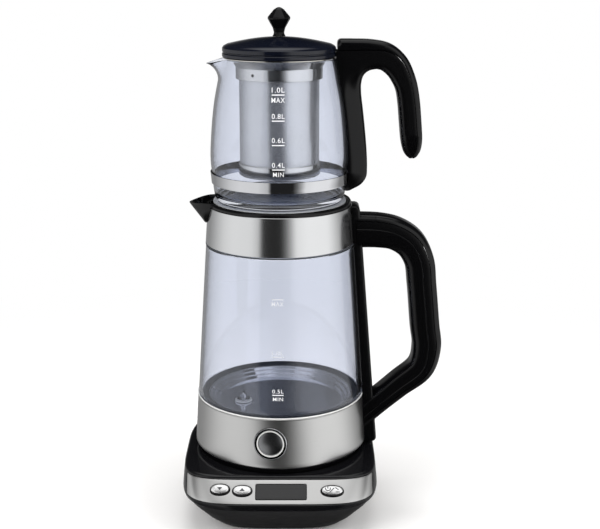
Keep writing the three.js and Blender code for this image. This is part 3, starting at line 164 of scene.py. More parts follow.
def soften(profile: Profile, steps: int = 4) -> list[Flat]:
    """Rounds the corners of a section.

    Args:
        profile: Corners as (r, z), or (r, z, radius) where the corner is rounded.
        steps: Pieces that each rounded corner is made of.

    Returns:
        The section's points with its corners rounded.
    """
    made: list[Flat] = []
    count = len(profile)
    for k, corner in enumerate(profile):
        here = np.array(corner[:2], dtype=float)
        radius = corner[2] if len(corner) > 2 else 0.0
        if radius <= 0:
            made.append((float(here[0]), float(here[1])))
            continue
        before = np.array(profile[k - 1][:2], dtype=float) - here
        after = np.array(profile[(k + 1) % count][:2], dtype=float) - here
        long_before, long_after = np.linalg.norm(before), np.linalg.norm(after)
        cosine = clamp(float(before @ after) / (long_before * long_after), -0.9999, 0.9999)
        reach = min(radius / math.tan(math.acos(cosine) / 2), 0.49 * long_before, 0.49 * long_after)
        start, end = here + before / long_before * reach, here + after / long_after * reach
        for step in range(steps + 1):
            t = step / steps
            spot = (1 - t) ** 2 * start + 2 * t * (1 - t) * here + t**2 * end
            made.append((float(spot[0]), float(spot[1])))
    return made


# Meshes


def linked(name: str, data: bpy.types.ID) -> Piece:
    """Makes an object that holds some data, and links it to the scene."""
    made = bpy.data.objects.new(name, data)
    SCENE.collection.objects.link(made)
    return made


def evaluated(piece: Piece) -> bpy.types.Mesh:
    """Plain mesh of an object as its modifiers leave it."""
    return bpy.data.meshes.new_from_object(piece.evaluated_get(bpy.context.evaluated_depsgraph_get()))


def mesh_object(name: str, points: Profile, faces: Sequence[Sequence[int]]) -> Piece:
    """Makes a closed mesh object from points in millimetres.

    Args:
        name: Name of the object and its mesh.
        points: Points in millimetres.
        faces: Corner numbers of each face.

    Returns:
        The object, linked to the scene, its doubles merged and its faces turned outwards.
    """
    mesh = bpy.data.meshes.new(name)
    mesh.from_pydata([tuple(c * MM for c in point) for point in points], [], faces)
    work = bmesh.new()
    work.from_mesh(mesh)
    bmesh.ops.remove_doubles(work, verts=work.verts, dist=WELD)
    bmesh.ops.dissolve_degenerate(work, edges=work.edges, dist=SHORT_EDGE)
    bmesh.ops.recalc_face_normals(work, faces=work.faces)
    work.to_mesh(mesh)
    work.free()
    return linked(name, mesh)


def reshape(piece: Piece, move: Callable[[Vector], Vector]) -> Piece:
    """Moves every point of a mesh by a rule in millimetres, and gives the object back."""
    for vertex in piece.data.vertices:
        vertex.co = move(vertex.co / MM) * MM
    return piece


def placed(piece: Piece, matrix: Matrix) -> Piece:
    """Puts a mesh in its place by a matrix in millimetres, and gives the object back."""
    return reshape(piece, lambda spot: matrix @ spot)


def turned(name: str, profile: Profile, steps: int = 160) -> Piece:
    """Turns a section about the Z axis.

    Args:
        name: Name of the object.
        profile: Section as (r, z) or (r, z, corner radius); it closes on itself or on the axis.
        steps: Steps round the axis.

    Returns:
        The turned object.
    """
    section = soften(profile)
    on_axis = profile[0][0] == 0
    points: list[Point] = []
    rows: list[list[int]] = []
    for r, z in section:
        if r < 1e-6:
            points.append((0.0, 0.0, z))
            rows.append([len(points) - 1] * steps)
            continue
        first = len(points)
        for k in range(steps):
            angle = 2 * math.pi * k / steps
            points.append((r * math.cos(angle), r * math.sin(angle), z))
        rows.append(list(range(first, first + steps)))
    faces = []
    last = len(rows) - 1 if on_axis else len(rows)
    for k in range(last):
        here, there = rows[k], rows[(k + 1) % len(rows)]
        for j in range(steps):
            n = (j + 1) % steps
            face = list(dict.fromkeys((here[j], here[n], there[n], there[j])))
            if len(face) > 2:
                faces.append(face)
    return mesh_object(name, points, faces)


def ring_piece(
    name: str, inner: float, outer: float, low: float, high: float, edge: float, steps: int = 160
) -> Piece:
    """Makes a turned ring with a rounded rectangular section."""
    section = [(inner, low, edge), (outer, low, edge), (outer, high, edge), (inner, high, edge)]
    return turned(name, section, steps)


def rod(name: str, radius: float, low: float, high: float, edge: float = 0.0, steps: int = 48) -> Piece:
    """Makes a round bar along Z with rounded ends."""
    return turned(name, [(0, low), (radius, low, edge), (radius, high, edge), (0, high)], steps)


def wall_faces(low: int, high: int, count: int) -> list[Face]:
    """Faces between two closed rings of count points, numbered from low and from high."""
    return [(low + j, low + (j + 1) % count, high + (j + 1) % count, high + j) for j in range(count)]


def skin(name: str, rings: Sequence[Profile]) -> Piece:
    """Makes a closed skin over rings, with flat ends.

    Args:
        name: Name of the object.
        rings: Rings of points in millimetres, all of the same count.

    Returns:
        The object.
    """
    count = len(rings[0])
    points = [point for ring in rings for point in ring]
    faces: list[Face] = []
    for k in range(len(rings) - 1):
        faces += wall_faces(k * count, (k + 1) * count, count)
    for ring, first in ((rings[0], 0), (rings[-1], (len(rings) - 1) * count)):
        centre = tuple(sum(p[axis] for p in ring) / count for axis in range(3))
        points.append(centre)
        for j in range(count):
            faces.append((len(points) - 1, first + j, first + (j + 1) % count))
    return mesh_object(name, points, faces)


def block(name: str, low: Point, high: Point) -> Piece:
    """Makes a box between two corners, for cutting."""
    ring = [(low[0], low[1]), (high[0], low[1]), (high[0], high[1]), (low[0], high[1])]
    return skin(name, [[(x, y, z) for x, y in ring] for z in (low[2], high[2])])


def joined(name: str, pieces: Sequence[Piece]) -> Piece:
    """Puts the meshes of several objects into one object, and removes them.

    Args:
        name: Name of the new object.
        pieces: The objects, all placed in their meshes.

    Returns:
        The new object.
    """
    work = bmesh.new()
    for piece in pieces:
        work.from_mesh(piece.data)
        bpy.data.objects.remove(piece)
    mesh = bpy.data.meshes.new(name)
    work.to_mesh(mesh)
    work.free()
    return linked(name, mesh)


class Join(Enum):
    """Ways to combine two solids."""

    CUT = "DIFFERENCE"
    ADD = "UNION"
    KEEP_COMMON = "INTERSECT"


def combine(target: Piece, tools: Sequence[Piece], way: Join = Join.CUT) -> Piece:
    """Combines a solid with others, and removes the others.

    Args:
        target: The solid that is changed.
        tools: The solids that change it.
        way: How each is combined with it.

    Returns:
        The changed solid.
    """
    for tool in tools:
        modifier = target.modifiers.new("combine", "BOOLEAN")
        modifier.operation = way.value
        modifier.solver = "EXACT"
        modifier.object = tool
    made = evaluated(target)
    target.modifiers.clear()
    target.data = made
    for tool in tools:
        bpy.data.objects.remove(tool)
    work = bmesh.new()
    work.from_mesh(made)
    bmesh.ops.remove_doubles(work, verts=work.verts, dist=WELD)
    bmesh.ops.dissolve_degenerate(work, edges=work.edges, dist=WELD)
    work.to_mesh(made)
    work.free()
    return target


# Flat fields: an outline with holes, filled with small triangles, from which plates and grips are raised


def inside(points: np.ndarray, loop: np.ndarray) -> np.ndarray:
    """True for each point that lies inside a closed loop.

    Args:
        points: Places to test, one in each row.
        loop: Corners of the loop, in order.

    Returns:
        One truth value for each point.
    """
    x, y = points[:, 0][:, None], points[:, 1][:, None]
    a, b = loop, np.roll(loop, -1, axis=0)
    crosses = (a[:, 1] > y) != (b[:, 1] > y)
    run = (b[:, 0] - a[:, 0]) * (y - a[:, 1]) / np.where(
        b[:, 1] == a[:, 1], 1e-12, b[:, 1] - a[:, 1]
    ) + a[:, 0]
    return (np.sum(crosses & (x < run), axis=1) % 2) == 1


def distance(points: np.ndarray, line: np.ndarray, closed: bool = True) -> np.ndarray:
    """Measures how far each point is from a line.

    Args:
        points: The points.
        line: Corners of the line.
        closed: Whether the line runs back to its start.

    Returns:
        One distance for each point.
    """
    a = line if closed else line[:-1]
    b = np.roll(line, -1, axis=0) if closed else line[1:]
    way = b - a
    length = np.maximum((way**2).sum(axis=1), 1e-12)
    share = np.clip(((points[:, None] - a) * way).sum(axis=2) / length, 0, 1)
    near = a + share[:, :, None] * way
    return np.sqrt(((points[:, None] - near) ** 2).sum(axis=2)).min(axis=1)


def even_loop(points: Sequence[Flat], step: float, closed: bool = True) -> np.ndarray:
    """Sets points an even step apart along a line, keeping its corners close.

    Args:
        points: The line's corners.
        step: Wished spacing.
        closed: Whether the line runs back to its start.

    Returns:
        The points, without a second one at the start of a closed line.
    """
    line = np.array(points, dtype=float)
    if closed:
        line = np.vstack([line, line[:1]])
    length = np.concatenate([[0], np.cumsum(np.linalg.norm(np.diff(line, axis=0), axis=1))])
    count = max(int(round(length[-1] / step)), 8)
    marks = np.linspace(0, length[-1], count + 1)
    made = np.column_stack([np.interp(marks, length, line[:, axis]) for axis in range(2)])
    return made[:-1] if closed else made


@dataclass
class Field:
    """A filled outline: points, triangles, the loops of its edges, and how far each point is from them."""

    points: np.ndarray
    faces: list[Face]
    loops: list[list[int]]
    edge: np.ndarray


RIM_ROWS = (0.0, 0.076, 0.293, 0.617, 1.0)


def filled(outer: np.ndarray, holes: Sequence[np.ndarray], step: float, rim: float) -> Field:
    """Fills an outline with small triangles.

    Args:
        outer: Outline, in order.
        holes: Outlines of its holes.
        step: Spacing of the points inside.
        rim: Width along the edges that is filled with close rows, for rounding.

    Returns:
        The filled field; its first loop is the outline.
    """
    loops = [outer, *holes]
    rows: list[np.ndarray] = []
    numbers: list[list[int]] = []
    edges: list[tuple[int, int]] = []
    total = 0
    for k, loop in enumerate(loops):
        area = 0.5 * np.sum(loop[:, 0] * np.roll(loop[:, 1], -1) - np.roll(loop[:, 0], -1) * loop[:, 1])
        way = np.roll(loop, -1, axis=0) - np.roll(loop, 1, axis=0)
        way /= np.maximum(np.linalg.norm(way, axis=1)[:, None], 1e-9)
        inward = np.column_stack([-way[:, 1], way[:, 0]]) * (1 if (area > 0) == (k == 0) else -1)
        for share in RIM_ROWS if rim > 0 else (0.0,):
            row = loop + inward * rim * share
            if share > 0:
                for near in loops:
                    row = row[distance(row, near) > 0.9 * rim * share] if len(row) else row
            else:
                numbers.append(list(range(total, total + len(row))))
                edges += [(total + j, total + (j + 1) % len(row)) for j in range(len(row))]
            rows.append(row)
            total += len(row)
    low, high = outer.min(axis=0), outer.max(axis=0)
    row_gap = step * 0.866
    grid = []
    for j in range(int((high[1] - low[1]) / row_gap) + 1):
        y = low[1] + (j + 0.5) * row_gap
        grid += [(x, y) for x in np.arange(low[0] + (j % 2) * step / 2, high[0], step)]
    spots = np.array(grid)
    spots = spots[inside(spots, outer)]
    spots = spots[distance(spots, outer) > rim + 0.45 * step]
    for hole in holes:
        spots = spots[~inside(spots, hole)]
        spots = spots[distance(spots, hole) > rim + 0.45 * step]
    points = np.vstack([*rows, spots])
    made = delaunay_2d_cdt([Vector(p) for p in points], edges, [], 0, 1e-7)
    flat = np.array([(v.x, v.y) for v in made[0]])
    home = {old: new for new, olds in enumerate(made[3]) for old in olds}
    middle = np.array([flat[list(face)].mean(axis=0) for face in made[2]])
    keep = inside(middle, outer)
    for hole in holes:
        keep &= ~inside(middle, hole)
    faces = [tuple(face) for face, kept in zip(made[2], keep) if kept]
    edge = np.min([distance(flat, loop) for loop in loops], axis=0)
    return Field(flat, faces, [[home[n] for n in loop] for loop in numbers], edge)


def raised(name: str, field: Field, top: Surface, low: Surface) -> Piece:
    """Makes a closed solid between two surfaces over a field.

    Args:
        name: Name of the object.
        field: The filled outline.
        top: Gives the upper point over a place, from the place and its distance from the edge.
        low: Gives the lower point in the same way.

    Returns:
        The solid.
    """
    count = len(field.points)
    points = [tuple(top((p[0], p[1]), d)) for p, d in zip(field.points, field.edge)]
    points += [tuple(low((p[0], p[1]), d)) for p, d in zip(field.points, field.edge)]
    faces: list[Face] = list(field.faces)
    faces += [tuple(n + count for n in reversed(face)) for face in field.faces]
    for loop in field.loops:
        for j, here in enumerate(loop):
            there = loop[(j + 1) % len(loop)]
            faces.append((here, there, there + count, here + count))
    return mesh_object(name, points, faces)


def upright(name: str, field: Field, half: Callable[[Flat, float], float]) -> Piece:
    """Makes a solid over a field in the XZ plane, its half width given by a rule as in raised."""
    return raised(name, field, lambda p, d: (p[0], half(p, d), p[1]), lambda p, d: (p[0], -half(p, d), p[1]))


def rounding(depth: float, radius: float) -> float:
    """Drop of a rounded edge at a distance from it."""
    if depth >= radius:
        return 0.0
    return radius - math.sqrt(max(radius**2 - (radius - max(depth, 0.0)) ** 2, 0.0))


def oval(length: float, height: float, exponent: float = 2.0, count: int = 72) -> np.ndarray:
    """Outline of an oval about the middle."""
    angles = np.arange(count) * 2 * math.pi / count
    x = [length / 2 * signed_power(math.cos(a), 2 / exponent) for a in angles]
    y = [height / 2 * signed_power(math.sin(a), 2 / exponent) for a in angles]
    return np.column_stack([x, y])


def rounded_box(length: float, height: float, corner: float, step: float = 0.8) -> np.ndarray:
    """Outline of a rectangle with rounded corners about the middle.

    Args:
        length: Size along the first axis.
        height: Size along the second.
        corner: Radius of the corners.
        step: Distance between the points.

    Returns:
        The outline's points, in order.
    """
    points = []
    for sx, sy, start in ((1, -1, -90), (1, 1, 0), (-1, 1, 90), (-1, -1, 180)):
        for k in range(7):
            angle = math.radians(start + 15 * k)
            points.append(
                (
                    sx * (length / 2 - corner) + corner * math.cos(angle),
                    sy * (height / 2 - corner) + corner * math.sin(angle)
                )
            )
    return even_loop(points, step)


# Finishes


class Tree:
    """Builds a node tree in few words."""

    def __init__(self, tree: NodeTree) -> None:
        """Takes the tree to build in."""
        self.tree = tree

    def node(self, kind: str, settings: dict[str, object] | None = None, **inputs: object) -> Node:
        """Adds a node.

        Args:
            kind: Its type.
            settings: Its own properties.
            **inputs: Values or sockets for its inputs, by name with _ for a space, or as i0, i1 and on.

        Returns:
            The node.
        """
        made = self.tree.nodes.new(kind)
        for name, value in (settings or {}).items():
            setattr(made, name, value)
        for name, value in inputs.items():
            by_place = name[0] == "i" and name[1:].isdigit()
            socket = made.inputs[int(name[1:])] if by_place else made.inputs[name.replace("_", " ")]
            if isinstance(value, Socket):
                self.tree.links.new(value, socket)
            else:
                socket.default_value = value
        return made

    def math(self, operation: str, *values: object) -> Socket:
        """Adds a sum of plain numbers and gives its result."""
        inputs = {f"i{k}": value for k, value in enumerate(values)}
        return self.node("ShaderNodeMath", {"operation": operation}, **inputs).outputs[0]

    def times(self, first: object, second: object) -> Socket:
        """Product of two numbers."""
        return self.math("MULTIPLY", first, second)

    def ranged(self, value: object, low: float, high: float, start: float = 0.0, end: float = 1.0) -> Socket:
        """Maps a value between low and high to start and end, in a straight line that stops at both."""
        ends = {"From_Min": low, "From_Max": high, "To_Min": start, "To_Max": end}
        return self.node("ShaderNodeMapRange", Value=value, **ends).outputs[0]

    def eased(self, value: object, low: float, high: float, start: float = 0.0, end: float = 1.0) -> Socket:
        """Maps a value as ranged does, but along a soft step."""
        made = self.ranged(value, low, high, start, end)
        made.node.interpolation_type = "SMOOTHSTEP"
        return made

    def mixed(self, share: object, first: object, second: object) -> Socket:
        """Blends two colours by a share."""
        return self.node("ShaderNodeMix", {"data_type": "RGBA"}, i0=share, i6=first, i7=second).outputs[2]

    def noise(self, spot: Socket, scale: object, detail: float = 2.0, roughness: float = 0.5) -> Socket:
        """Gives a soft random pattern, always the same at the same place."""
        inputs = {"Scale": scale, "Detail": detail, "Roughness": roughness}
        return self.node("ShaderNodeTexNoise", Vector=spot, **inputs).outputs["Fac"]

    def place(self, kind: str = "Object") -> Socket:
        """Coordinates of the shaded place, on the piece itself unless another kind is named."""
        return self.node("ShaderNodeTexCoord").outputs[kind]

    def parts(self, spot: Socket) -> list[Socket]:
        """The three coordinates of a place."""
        return list(self.node("ShaderNodeSeparateXYZ", Vector=spot).outputs)


class Grain(Tree):
    """Shader node group of a skin: Vector, Across and Along go in, Line and Cloud come out."""

    def __init__(self, name: str, across: float, along: float) -> None:
        """Starts the group.

        Args:
            name: Name of the group.
            across: Default fineness across the pattern.
            along: Default fineness along it.
        """
        super().__init__(bpy.data.node_groups.new(name, "ShaderNodeTree"))
        face = self.tree.interface
        face.new_socket("Vector", in_out="INPUT", socket_type="NodeSocketVector")
        for label, value in (("Across", across), ("Along", along)):
            face.new_socket(label, in_out="INPUT", socket_type="NodeSocketFloat").default_value = value
        for label in ("Line", "Cloud"):
            face.new_socket(label, in_out="OUTPUT", socket_type="NodeSocketFloat")
        given = self.node("NodeGroupInput").outputs
        self.spot, self.across, self.along = given["Vector"], given["Across"], given["Along"]

    def closed(self, line: Socket, cloud: Socket) -> NodeTree:
        """Puts out the fine pattern and the slow one, and gives the finished group."""
        self.node("NodeGroupOutput", Line=line, Cloud=cloud)
        return self.tree


def turned_grain() -> NodeTree:
    """Fine lines that run round the Z axis, as a brush leaves them on a spun sheet.

    Returns:
        The group of nodes.
    """
    grain = Grain("Turned grain", 900.0, 3.0)
    x, y, z = grain.parts(grain.spot)
    squares = grain.math("ADD", grain.times(x, x), grain.times(y, y))
    reach = grain.math("SQRT", squares)
    safe = grain.math("MAXIMUM", reach, 1e-5)
    ahead = grain.times(grain.math("DIVIDE", x, safe), grain.along)
    aside = grain.times(grain.math("DIVIDE", y, safe), grain.along)
    rise = grain.times(z, grain.across)
    inputs = {
        "Vector": grain.node("ShaderNodeCombineXYZ", X=ahead, Y=aside, Z=rise).outputs[0],
        "W": grain.times(reach, grain.across),
        "Scale": 1.0,
        "Detail": 3.0,
        "Roughness": 0.65,
    }
    lines = grain.node("ShaderNodeTexNoise", {"noise_dimensions": "4D"}, **inputs)
    return grain.closed(lines.outputs["Fac"], grain.noise(grain.spot, 24.0))


def straight_grain() -> NodeTree:
    """Fine lines that run along X, as on a rolled and brushed plate.

    Returns:
        The group of nodes.
    """
    grain = Grain("Straight grain", 900.0, 12.0)
    x, y, z = grain.parts(grain.spot)
    ahead = grain.times(x, grain.along)
    aside = grain.times(y, grain.across)
    rise = grain.times(z, grain.across)
    spot = grain.node("ShaderNodeCombineXYZ", X=ahead, Y=aside, Z=rise).outputs[0]
    return grain.closed(grain.noise(spot, 1.0, 3.0, 0.6), grain.noise(grain.spot, 30.0))


def moulded_skin() -> NodeTree:
    """Fine pebbled skin of a moulded plastic, with a slow mottle."""
    grain = Grain("Moulded skin", 1600.0, 60.0)
    fine = grain.noise(grain.spot, grain.across)
    return grain.closed(fine, grain.noise(grain.spot, grain.along, 3.0, 0.6))


def strainer_holes() -> NodeTree:
    """Small holes in even rows round the Z axis, as in an etched strainer sheet.

    Returns:
        The group of nodes.
    """
    grain = Grain("Strainer holes", 1100.0, 240.0)
    x, y, z = grain.parts(grain.spot)
    turn = grain.times(grain.math("ARCTAN2", y, x), grain.along)
    rise = grain.times(z, grain.times(grain.across, 2 * math.pi))
    wave = grain.times(grain.math("SINE", turn), grain.math("SINE", rise))
    return grain.closed(grain.ranged(wave, -0.2, 0.6), grain.noise(grain.spot, 40.0))


class Skin(Enum):
    """Kinds of fine surface detail."""

    MOULDED = "moulded"
    TURNED = "turned"
    STRAIGHT = "straight"
    STRAINER = "strainer"


SKINS: dict[Skin, Callable[[], NodeTree]] = {
    Skin.MOULDED: moulded_skin,
    Skin.TURNED: turned_grain,
    Skin.STRAIGHT: straight_grain,
    Skin.STRAINER: strainer_holes,
}


def blank_material(name: str) -> tuple[bpy.types.Material, Tree]:
    """Makes a material without nodes, and gives it with the builder of its tree."""
    made = bpy.data.materials.new(name)
    made.use_nodes = True
    made.node_tree.nodes.clear()
    return made, Tree(made.node_tree)


@dataclass(frozen=True)
class Finish:
    """A finish of the tea maker, and how its material is made."""

    name: str
    slot: str
    colour: tuple[int, int, int]
    roughness: float
    metallic: float = 0.0
    skin: Skin = Skin.MOULDED
    across: float = 1500.0
    along: float = 60.0
    mottle: float = 0.06
    spread: float = 0.04
    relief: float = 0.01
    coat: float = 0.0
    gloss: float = 0.5

    def linear(self, share: float = 1.0) -> tuple[float, float, float, float]:
        """Colour for a shader, made lighter or darker by a share."""
        parts = [c / 255 for c in self.colour]
        made = [(c / 12.92 if c <= 0.04045 else ((c + 0.055) / 1.055) ** 2.4) * share for c in parts]
        return (min(made[0], 1.0), min(made[1], 1.0), min(made[2], 1.0), 1.0)

    def group(self, build: Tree) -> Node:
        """Places the node group of the skin, made once, in a material's tree."""
        if self.skin not in GROUPS:
            GROUPS[self.skin] = SKINS[self.skin]()
        inputs = {"Vector": build.place(), "Across": self.across, "Along": self.along}
        return build.node("ShaderNodeGroup", {"node_tree": GROUPS[self.skin]}, **inputs)

    def shader(self, build: Tree, **plain: object) -> Node:
        """Builds the surface shader, its colour, roughness and relief changing over the surface.

        Args:
            build: Builder of the material's tree.
            **plain: Further plain inputs of the shader, by name.

        Returns:
            The shader's node.
        """
        line, cloud = self.group(build).outputs
        blend = build.math("MULTIPLY_ADD", line, 0.5, build.times(cloud, 0.5))
        smoothest, roughest = max(self.roughness - self.spread, 0.0), self.roughness + self.spread
        bump = build.node("ShaderNodeBump", Height=line, Strength=0.5, Distance=self.relief * MM)
        inputs = {
            "Base_Color": build.mixed(blend, self.linear(1 - self.mottle), self.linear(1 + self.mottle)),
            "Roughness": build.ranged(blend, 0.0, 1.0, smoothest, roughest),
            "Normal": bump.outputs[0],
            "Metallic": self.metallic,
            "Coat_Weight": self.coat,
            "Specular_IOR_Level": self.gloss,
        }
        return build.node("ShaderNodeBsdfPrincipled", **inputs, **plain)

    def material(self) -> bpy.types.Material:
        """The material, made once."""
        if self.name not in MATERIALS:
            MATERIALS[self.name], build = blank_material(self.name)
            build.node("ShaderNodeOutputMaterial", Surface=self.surface(build))
        return MATERIALS[self.name]

    def surface(self, build: Tree) -> Socket:
        """The shader that the surface shows."""
        return self.shader(build).outputs[0]


@dataclass(frozen=True)
class Steel(Finish):
    """Metal with fine lines round the Z axis."""

    metallic: float = 1.0
    skin: Skin = Skin.TURNED
    along: float = 3.0
    mottle: float = 0.03
    spread: float = 0.03
    relief: float = 0.002


@dataclass(frozen=True)
class ClearGlass(Finish):
    """Glass that lets lamps through to what stands behind it."""

    ior: float = 1.47

    def surface(self, build: Tree) -> Socket:
        """Clear refracting glass, open to light from the lamps.

        Args:
            build: Tree of the material.

        Returns:
            The shader's output.
        """
        glass = self.shader(build, Transmission_Weight=1.0, IOR=self.ior)
        open_way = build.node("ShaderNodeBsdfTransparent", Color=self.linear())
        lamp_ray = build.node("ShaderNodeLightPath").outputs["Is Shadow Ray"]
        inputs = {"i0": lamp_ray, "i1": glass.outputs[0], "i2": open_way.outputs[0]}
        return build.node("ShaderNodeMixShader", **inputs).outputs[0]


GROUPS: dict[Skin, NodeTree] = {}
MATERIALS: dict[str, bpy.types.Material] = {}

GLOSS_BLACK = Finish(
    "gloss_black_plastic", "gloss_black", (5, 5, 6), 0.07, across=500, along=30, spread=0.03, relief=0.004,
    gloss=0.3
)
# Black plastic of the teapot lid. The navy tint in its colour is a painted bluish sheen that stands in for
# reflected light.
LID_BLACK_PAINTED_SHEEN = Finish(
    "lid_black_plastic_painted_sheen", "gloss_black", (9, 12, 22), 0.1, across=500, along=30, spread=0.03, relief=0.004
)
DECK_BLACK = Finish(
    "gloss_black_housing", "gloss_black", (13, 13, 15), 0.1, across=500, along=30, spread=0.03,
    relief=0.004, gloss=0.42
)
SATIN_BLACK = Finish(
    "satin_black_plastic", "satin_black", (5, 5, 6), 0.2, across=2200, along=70, spread=0.05, relief=0.012,
    gloss=0.26
)
TRAY_GREY = Finish("grey_base_plastic", "tray_grey", (35, 35, 36), 0.4, across=1800, relief=0.02, gloss=0.3)
BRUSHED = Steel(
    "brushed_steel_band", "brushed_steel", (221, 222, 223), 0.17, across=4200, mottle=0.04, relief=0.003
)
LOWER_BRUSHED = Steel(
    "brushed_steel_lower_band", "brushed_steel", (203, 203, 202), 0.29, across=2600, along=4, mottle=0.07,
    spread=0.05, relief=0.004
)
COVER_STEEL = Steel(
    "kettle_cover_steel", "brushed_steel", (222, 224, 227), 0.28, 0.6, mottle=0.05, spread=0.04
)
ROLLED_EDGE = Steel("rolled_steel_edge", "brushed_steel", (238, 238, 236), 0.3, 0.3, relief=0.001)
SPUN = Steel("spun_steel", "brushed_steel", (252, 250, 243), 0.12)
POLISHED = Steel("polished_steel", "polished_steel", (213, 214, 217), 0.06, across=500, along=2)
DISH_STEEL = Steel(
    "heating_dish_steel", "polished_steel", (226, 228, 234), 0.07, 0.88, across=500, along=2, mottle=0.02,
    spread=0.02, relief=0.0003
)
DARK_MIRROR = Steel(
    "dark_mirror_cap", "gloss_black", (140, 141, 143), 0.24, across=900, along=2, spread=0.02, relief=0.0002
)
STRAINER = Finish(
    "strainer_steel", "strainer_steel", (250, 249, 242), 0.2, metallic=0.82, skin=Skin.STRAINER, across=800,
    along=160, mottle=0.16, spread=0.05, relief=0.02
)
FASCIA = Finish(
    "brushed_fascia_metal", "fascia_metal", (206, 206, 205), 0.3, metallic=1.0, skin=Skin.STRAIGHT,
    across=3000, along=20, mottle=0.05, relief=0.004
)
BUTTON_SILVER = Finish(
    "silver_button_plastic", "button_silver", (236, 236, 236), 0.2, metallic=0.8, across=900, mottle=0.03,
    spread=0.03, relief=0.004
)
DISPLAY = Finish(
    "display_window", "display", (17, 17, 18), 0.1, across=700, along=40, mottle=0.1, spread=0.03,
    relief=0.003, coat=0.1
)
RUBBER = Finish("soft_rubber", "rubber", (28, 28, 29), 0.72, across=2400, along=90, relief=0.03)
SILICONE = Finish("grey_silicone", "silicone", (58, 61, 66), 0.5, relief=0.015)
WHITE_SILICONE = Finish("white_silicone", "white_silicone", (226, 226, 224), 0.45)
NYLON = Finish("natural_nylon", "nylon", (214, 208, 196), 0.5, relief=0.02)
ZINC = Steel(
    "zinc_plated_steel", "zinc", (172, 174, 176), 0.3, across=1800, mottle=0.1, spread=0.06, relief=0.006
)
CIRCUIT = Finish(
    "green_circuit_board", "circuit", (30, 92, 54), 0.42, across=700, along=160, mottle=0.16, relief=0.02
)
PRINT_WHITE = Finish(
    "white_print", "white_silicone", (238, 239, 241), 0.5, across=900, mottle=0.03, relief=0.004
)
PRINT_DARK = Finish("grey_print", "satin_black", (66, 67, 70), 0.45, across=900, mottle=0.05, relief=0.004)
PRINT_PALE = Finish(
    "pale_print", "white_silicone", (214, 216, 222), 0.5, across=900, mottle=0.03, relief=0.004
)
GLASS = ClearGlass(
    "borosilicate_glass", "glass", (232, 235, 243), 0.0, across=60, along=12, mottle=0.004, spread=0.0,
    relief=0.02
)

CARRIED = {
    NYLON: ("display_module", "glass_holder", "kettle_control"),
    CIRCUIT: ("control_board",),
    SATIN_BLACK: ("switch_minus", "switch_plus", "switch_power", "front_switch"),
    ZINC: ("heating_element", "kettle_handle_screw", "knob_screw"),
    SILICONE: ("lid_seal",),
}


# Parts that repeat


@dataclass
class Repeat:
    """Sets copies of one small part on chosen points by Geometry Nodes."""

    name: str
    part: Piece
    places: Sequence[Point]
    finish: Finish
    size: float = 1.0

    def tree(self) -> bpy.types.GeometryNodeTree:
        """Builds the node tree: points in, copies of the part out, realised and finished.

        Returns:
            The tree.
        """
        group = bpy.data.node_groups.new(f"{self.name}_copies", "GeometryNodeTree")
        face = group.interface
        kinds = {"Geometry": "Geometry", "Part": "Object", "Size": "Float", "Finish": "Material"}
        for label, kind in kinds.items():
            face.new_socket(label, in_out="INPUT", socket_type=f"NodeSocket{kind}")
        face.new_socket("Geometry", in_out="OUTPUT", socket_type="NodeSocketGeometry")
        build = Tree(group)
        given = build.node("NodeGroupInput").outputs
        settings = {"transform_space": "ORIGINAL"}
        part = build.node("GeometryNodeObjectInfo", settings, Object=given["Part"], As_Instance=True)
        inputs = {"Points": given["Geometry"], "Instance": part.outputs["Geometry"], "Scale": given["Size"]}
        copies = build.node("GeometryNodeInstanceOnPoints", **inputs)
        real = build.node("GeometryNodeRealizeInstances", Geometry=copies.outputs[0])
        inputs = {"Geometry": real.outputs[0], "Material": given["Finish"]}
        dressed = build.node("GeometryNodeSetMaterial", **inputs)
        build.node("NodeGroupOutput", Geometry=dressed.outputs[0])
        return group

    def made(self) -> Piece:
        """Runs the tree once and gives the copies as one plain mesh object.

        Returns:
            The object, without a modifier.
        """
        mesh = bpy.data.meshes.new(self.name)
        mesh.from_pydata([tuple(c * MM for c in place) for place in self.places], [], [])
        carrier = linked(self.name, mesh)
        modifier = carrier.modifiers.new("copies", "NODES")
        modifier.node_group = self.tree()
        values = {"Part": self.part, "Size": self.size, "Finish": self.finish.material()}
        for item in modifier.node_group.interface.items_tree:
            if item.in_out == "INPUT" and item.name in values:
                modifier[item.identifier] = values[item.name]
        shown = evaluated(carrier)
        carrier.modifiers.clear()
        carrier.data = shown
        bpy.data.objects.remove(self.part)
        return carrier


@dataclass
class Assembly:
    """A sub-assembly: holds its sizes, builds its pieces and dresses them."""

    plan: Plan

    def present(self, piece: Piece, body: str, finish: Finish, *nodes: str, sharp: float = 32.0) -> Piece:
        """Gives a piece its finish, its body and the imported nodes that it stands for.

        Args:
            piece: The finished mesh object.
            body: The body that it rides on.
            finish: Its finish.
            *nodes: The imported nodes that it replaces.
            sharp: Angle in degrees over which an edge stays sharp.

        Returns:
            The piece.
        """
        piece.data.materials.clear()
        piece.data.materials.append(finish.material())
        piece.data.shade_smooth()
        piece.data.set_sharp_from_angle(angle=math.radians(sharp))
        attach(piece, body)
        if nodes:
            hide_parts(*nodes)
        LOG.info("%s rides on %s, %d faces", piece.name, body, len(piece.data.polygons))
        return piece


# Base


FRONT_SQUARE = 4.0
CONSOLE_SQUARE = 6.0
BACK_SQUARE = 2.8


def plan_spot(angle: float, side: float, front: float, back: float, square: float = FRONT_SQUARE) -> Flat:
    """Finds a point of the base's plan.

    Args:
        angle: Direction from the middle.
        side: Half width.
        front: Depth in front of the middle.
        back: Depth behind it.
        square: How square the front is.

    Returns:
        The point, in millimetres.
    """
    exponent, depth = (square, front) if math.sin(angle) < 0 else (BACK_SQUARE, back)
    across = side * signed_power(math.cos(angle), 2 / exponent)
    return (across, depth * signed_power(math.sin(angle), 2 / exponent))


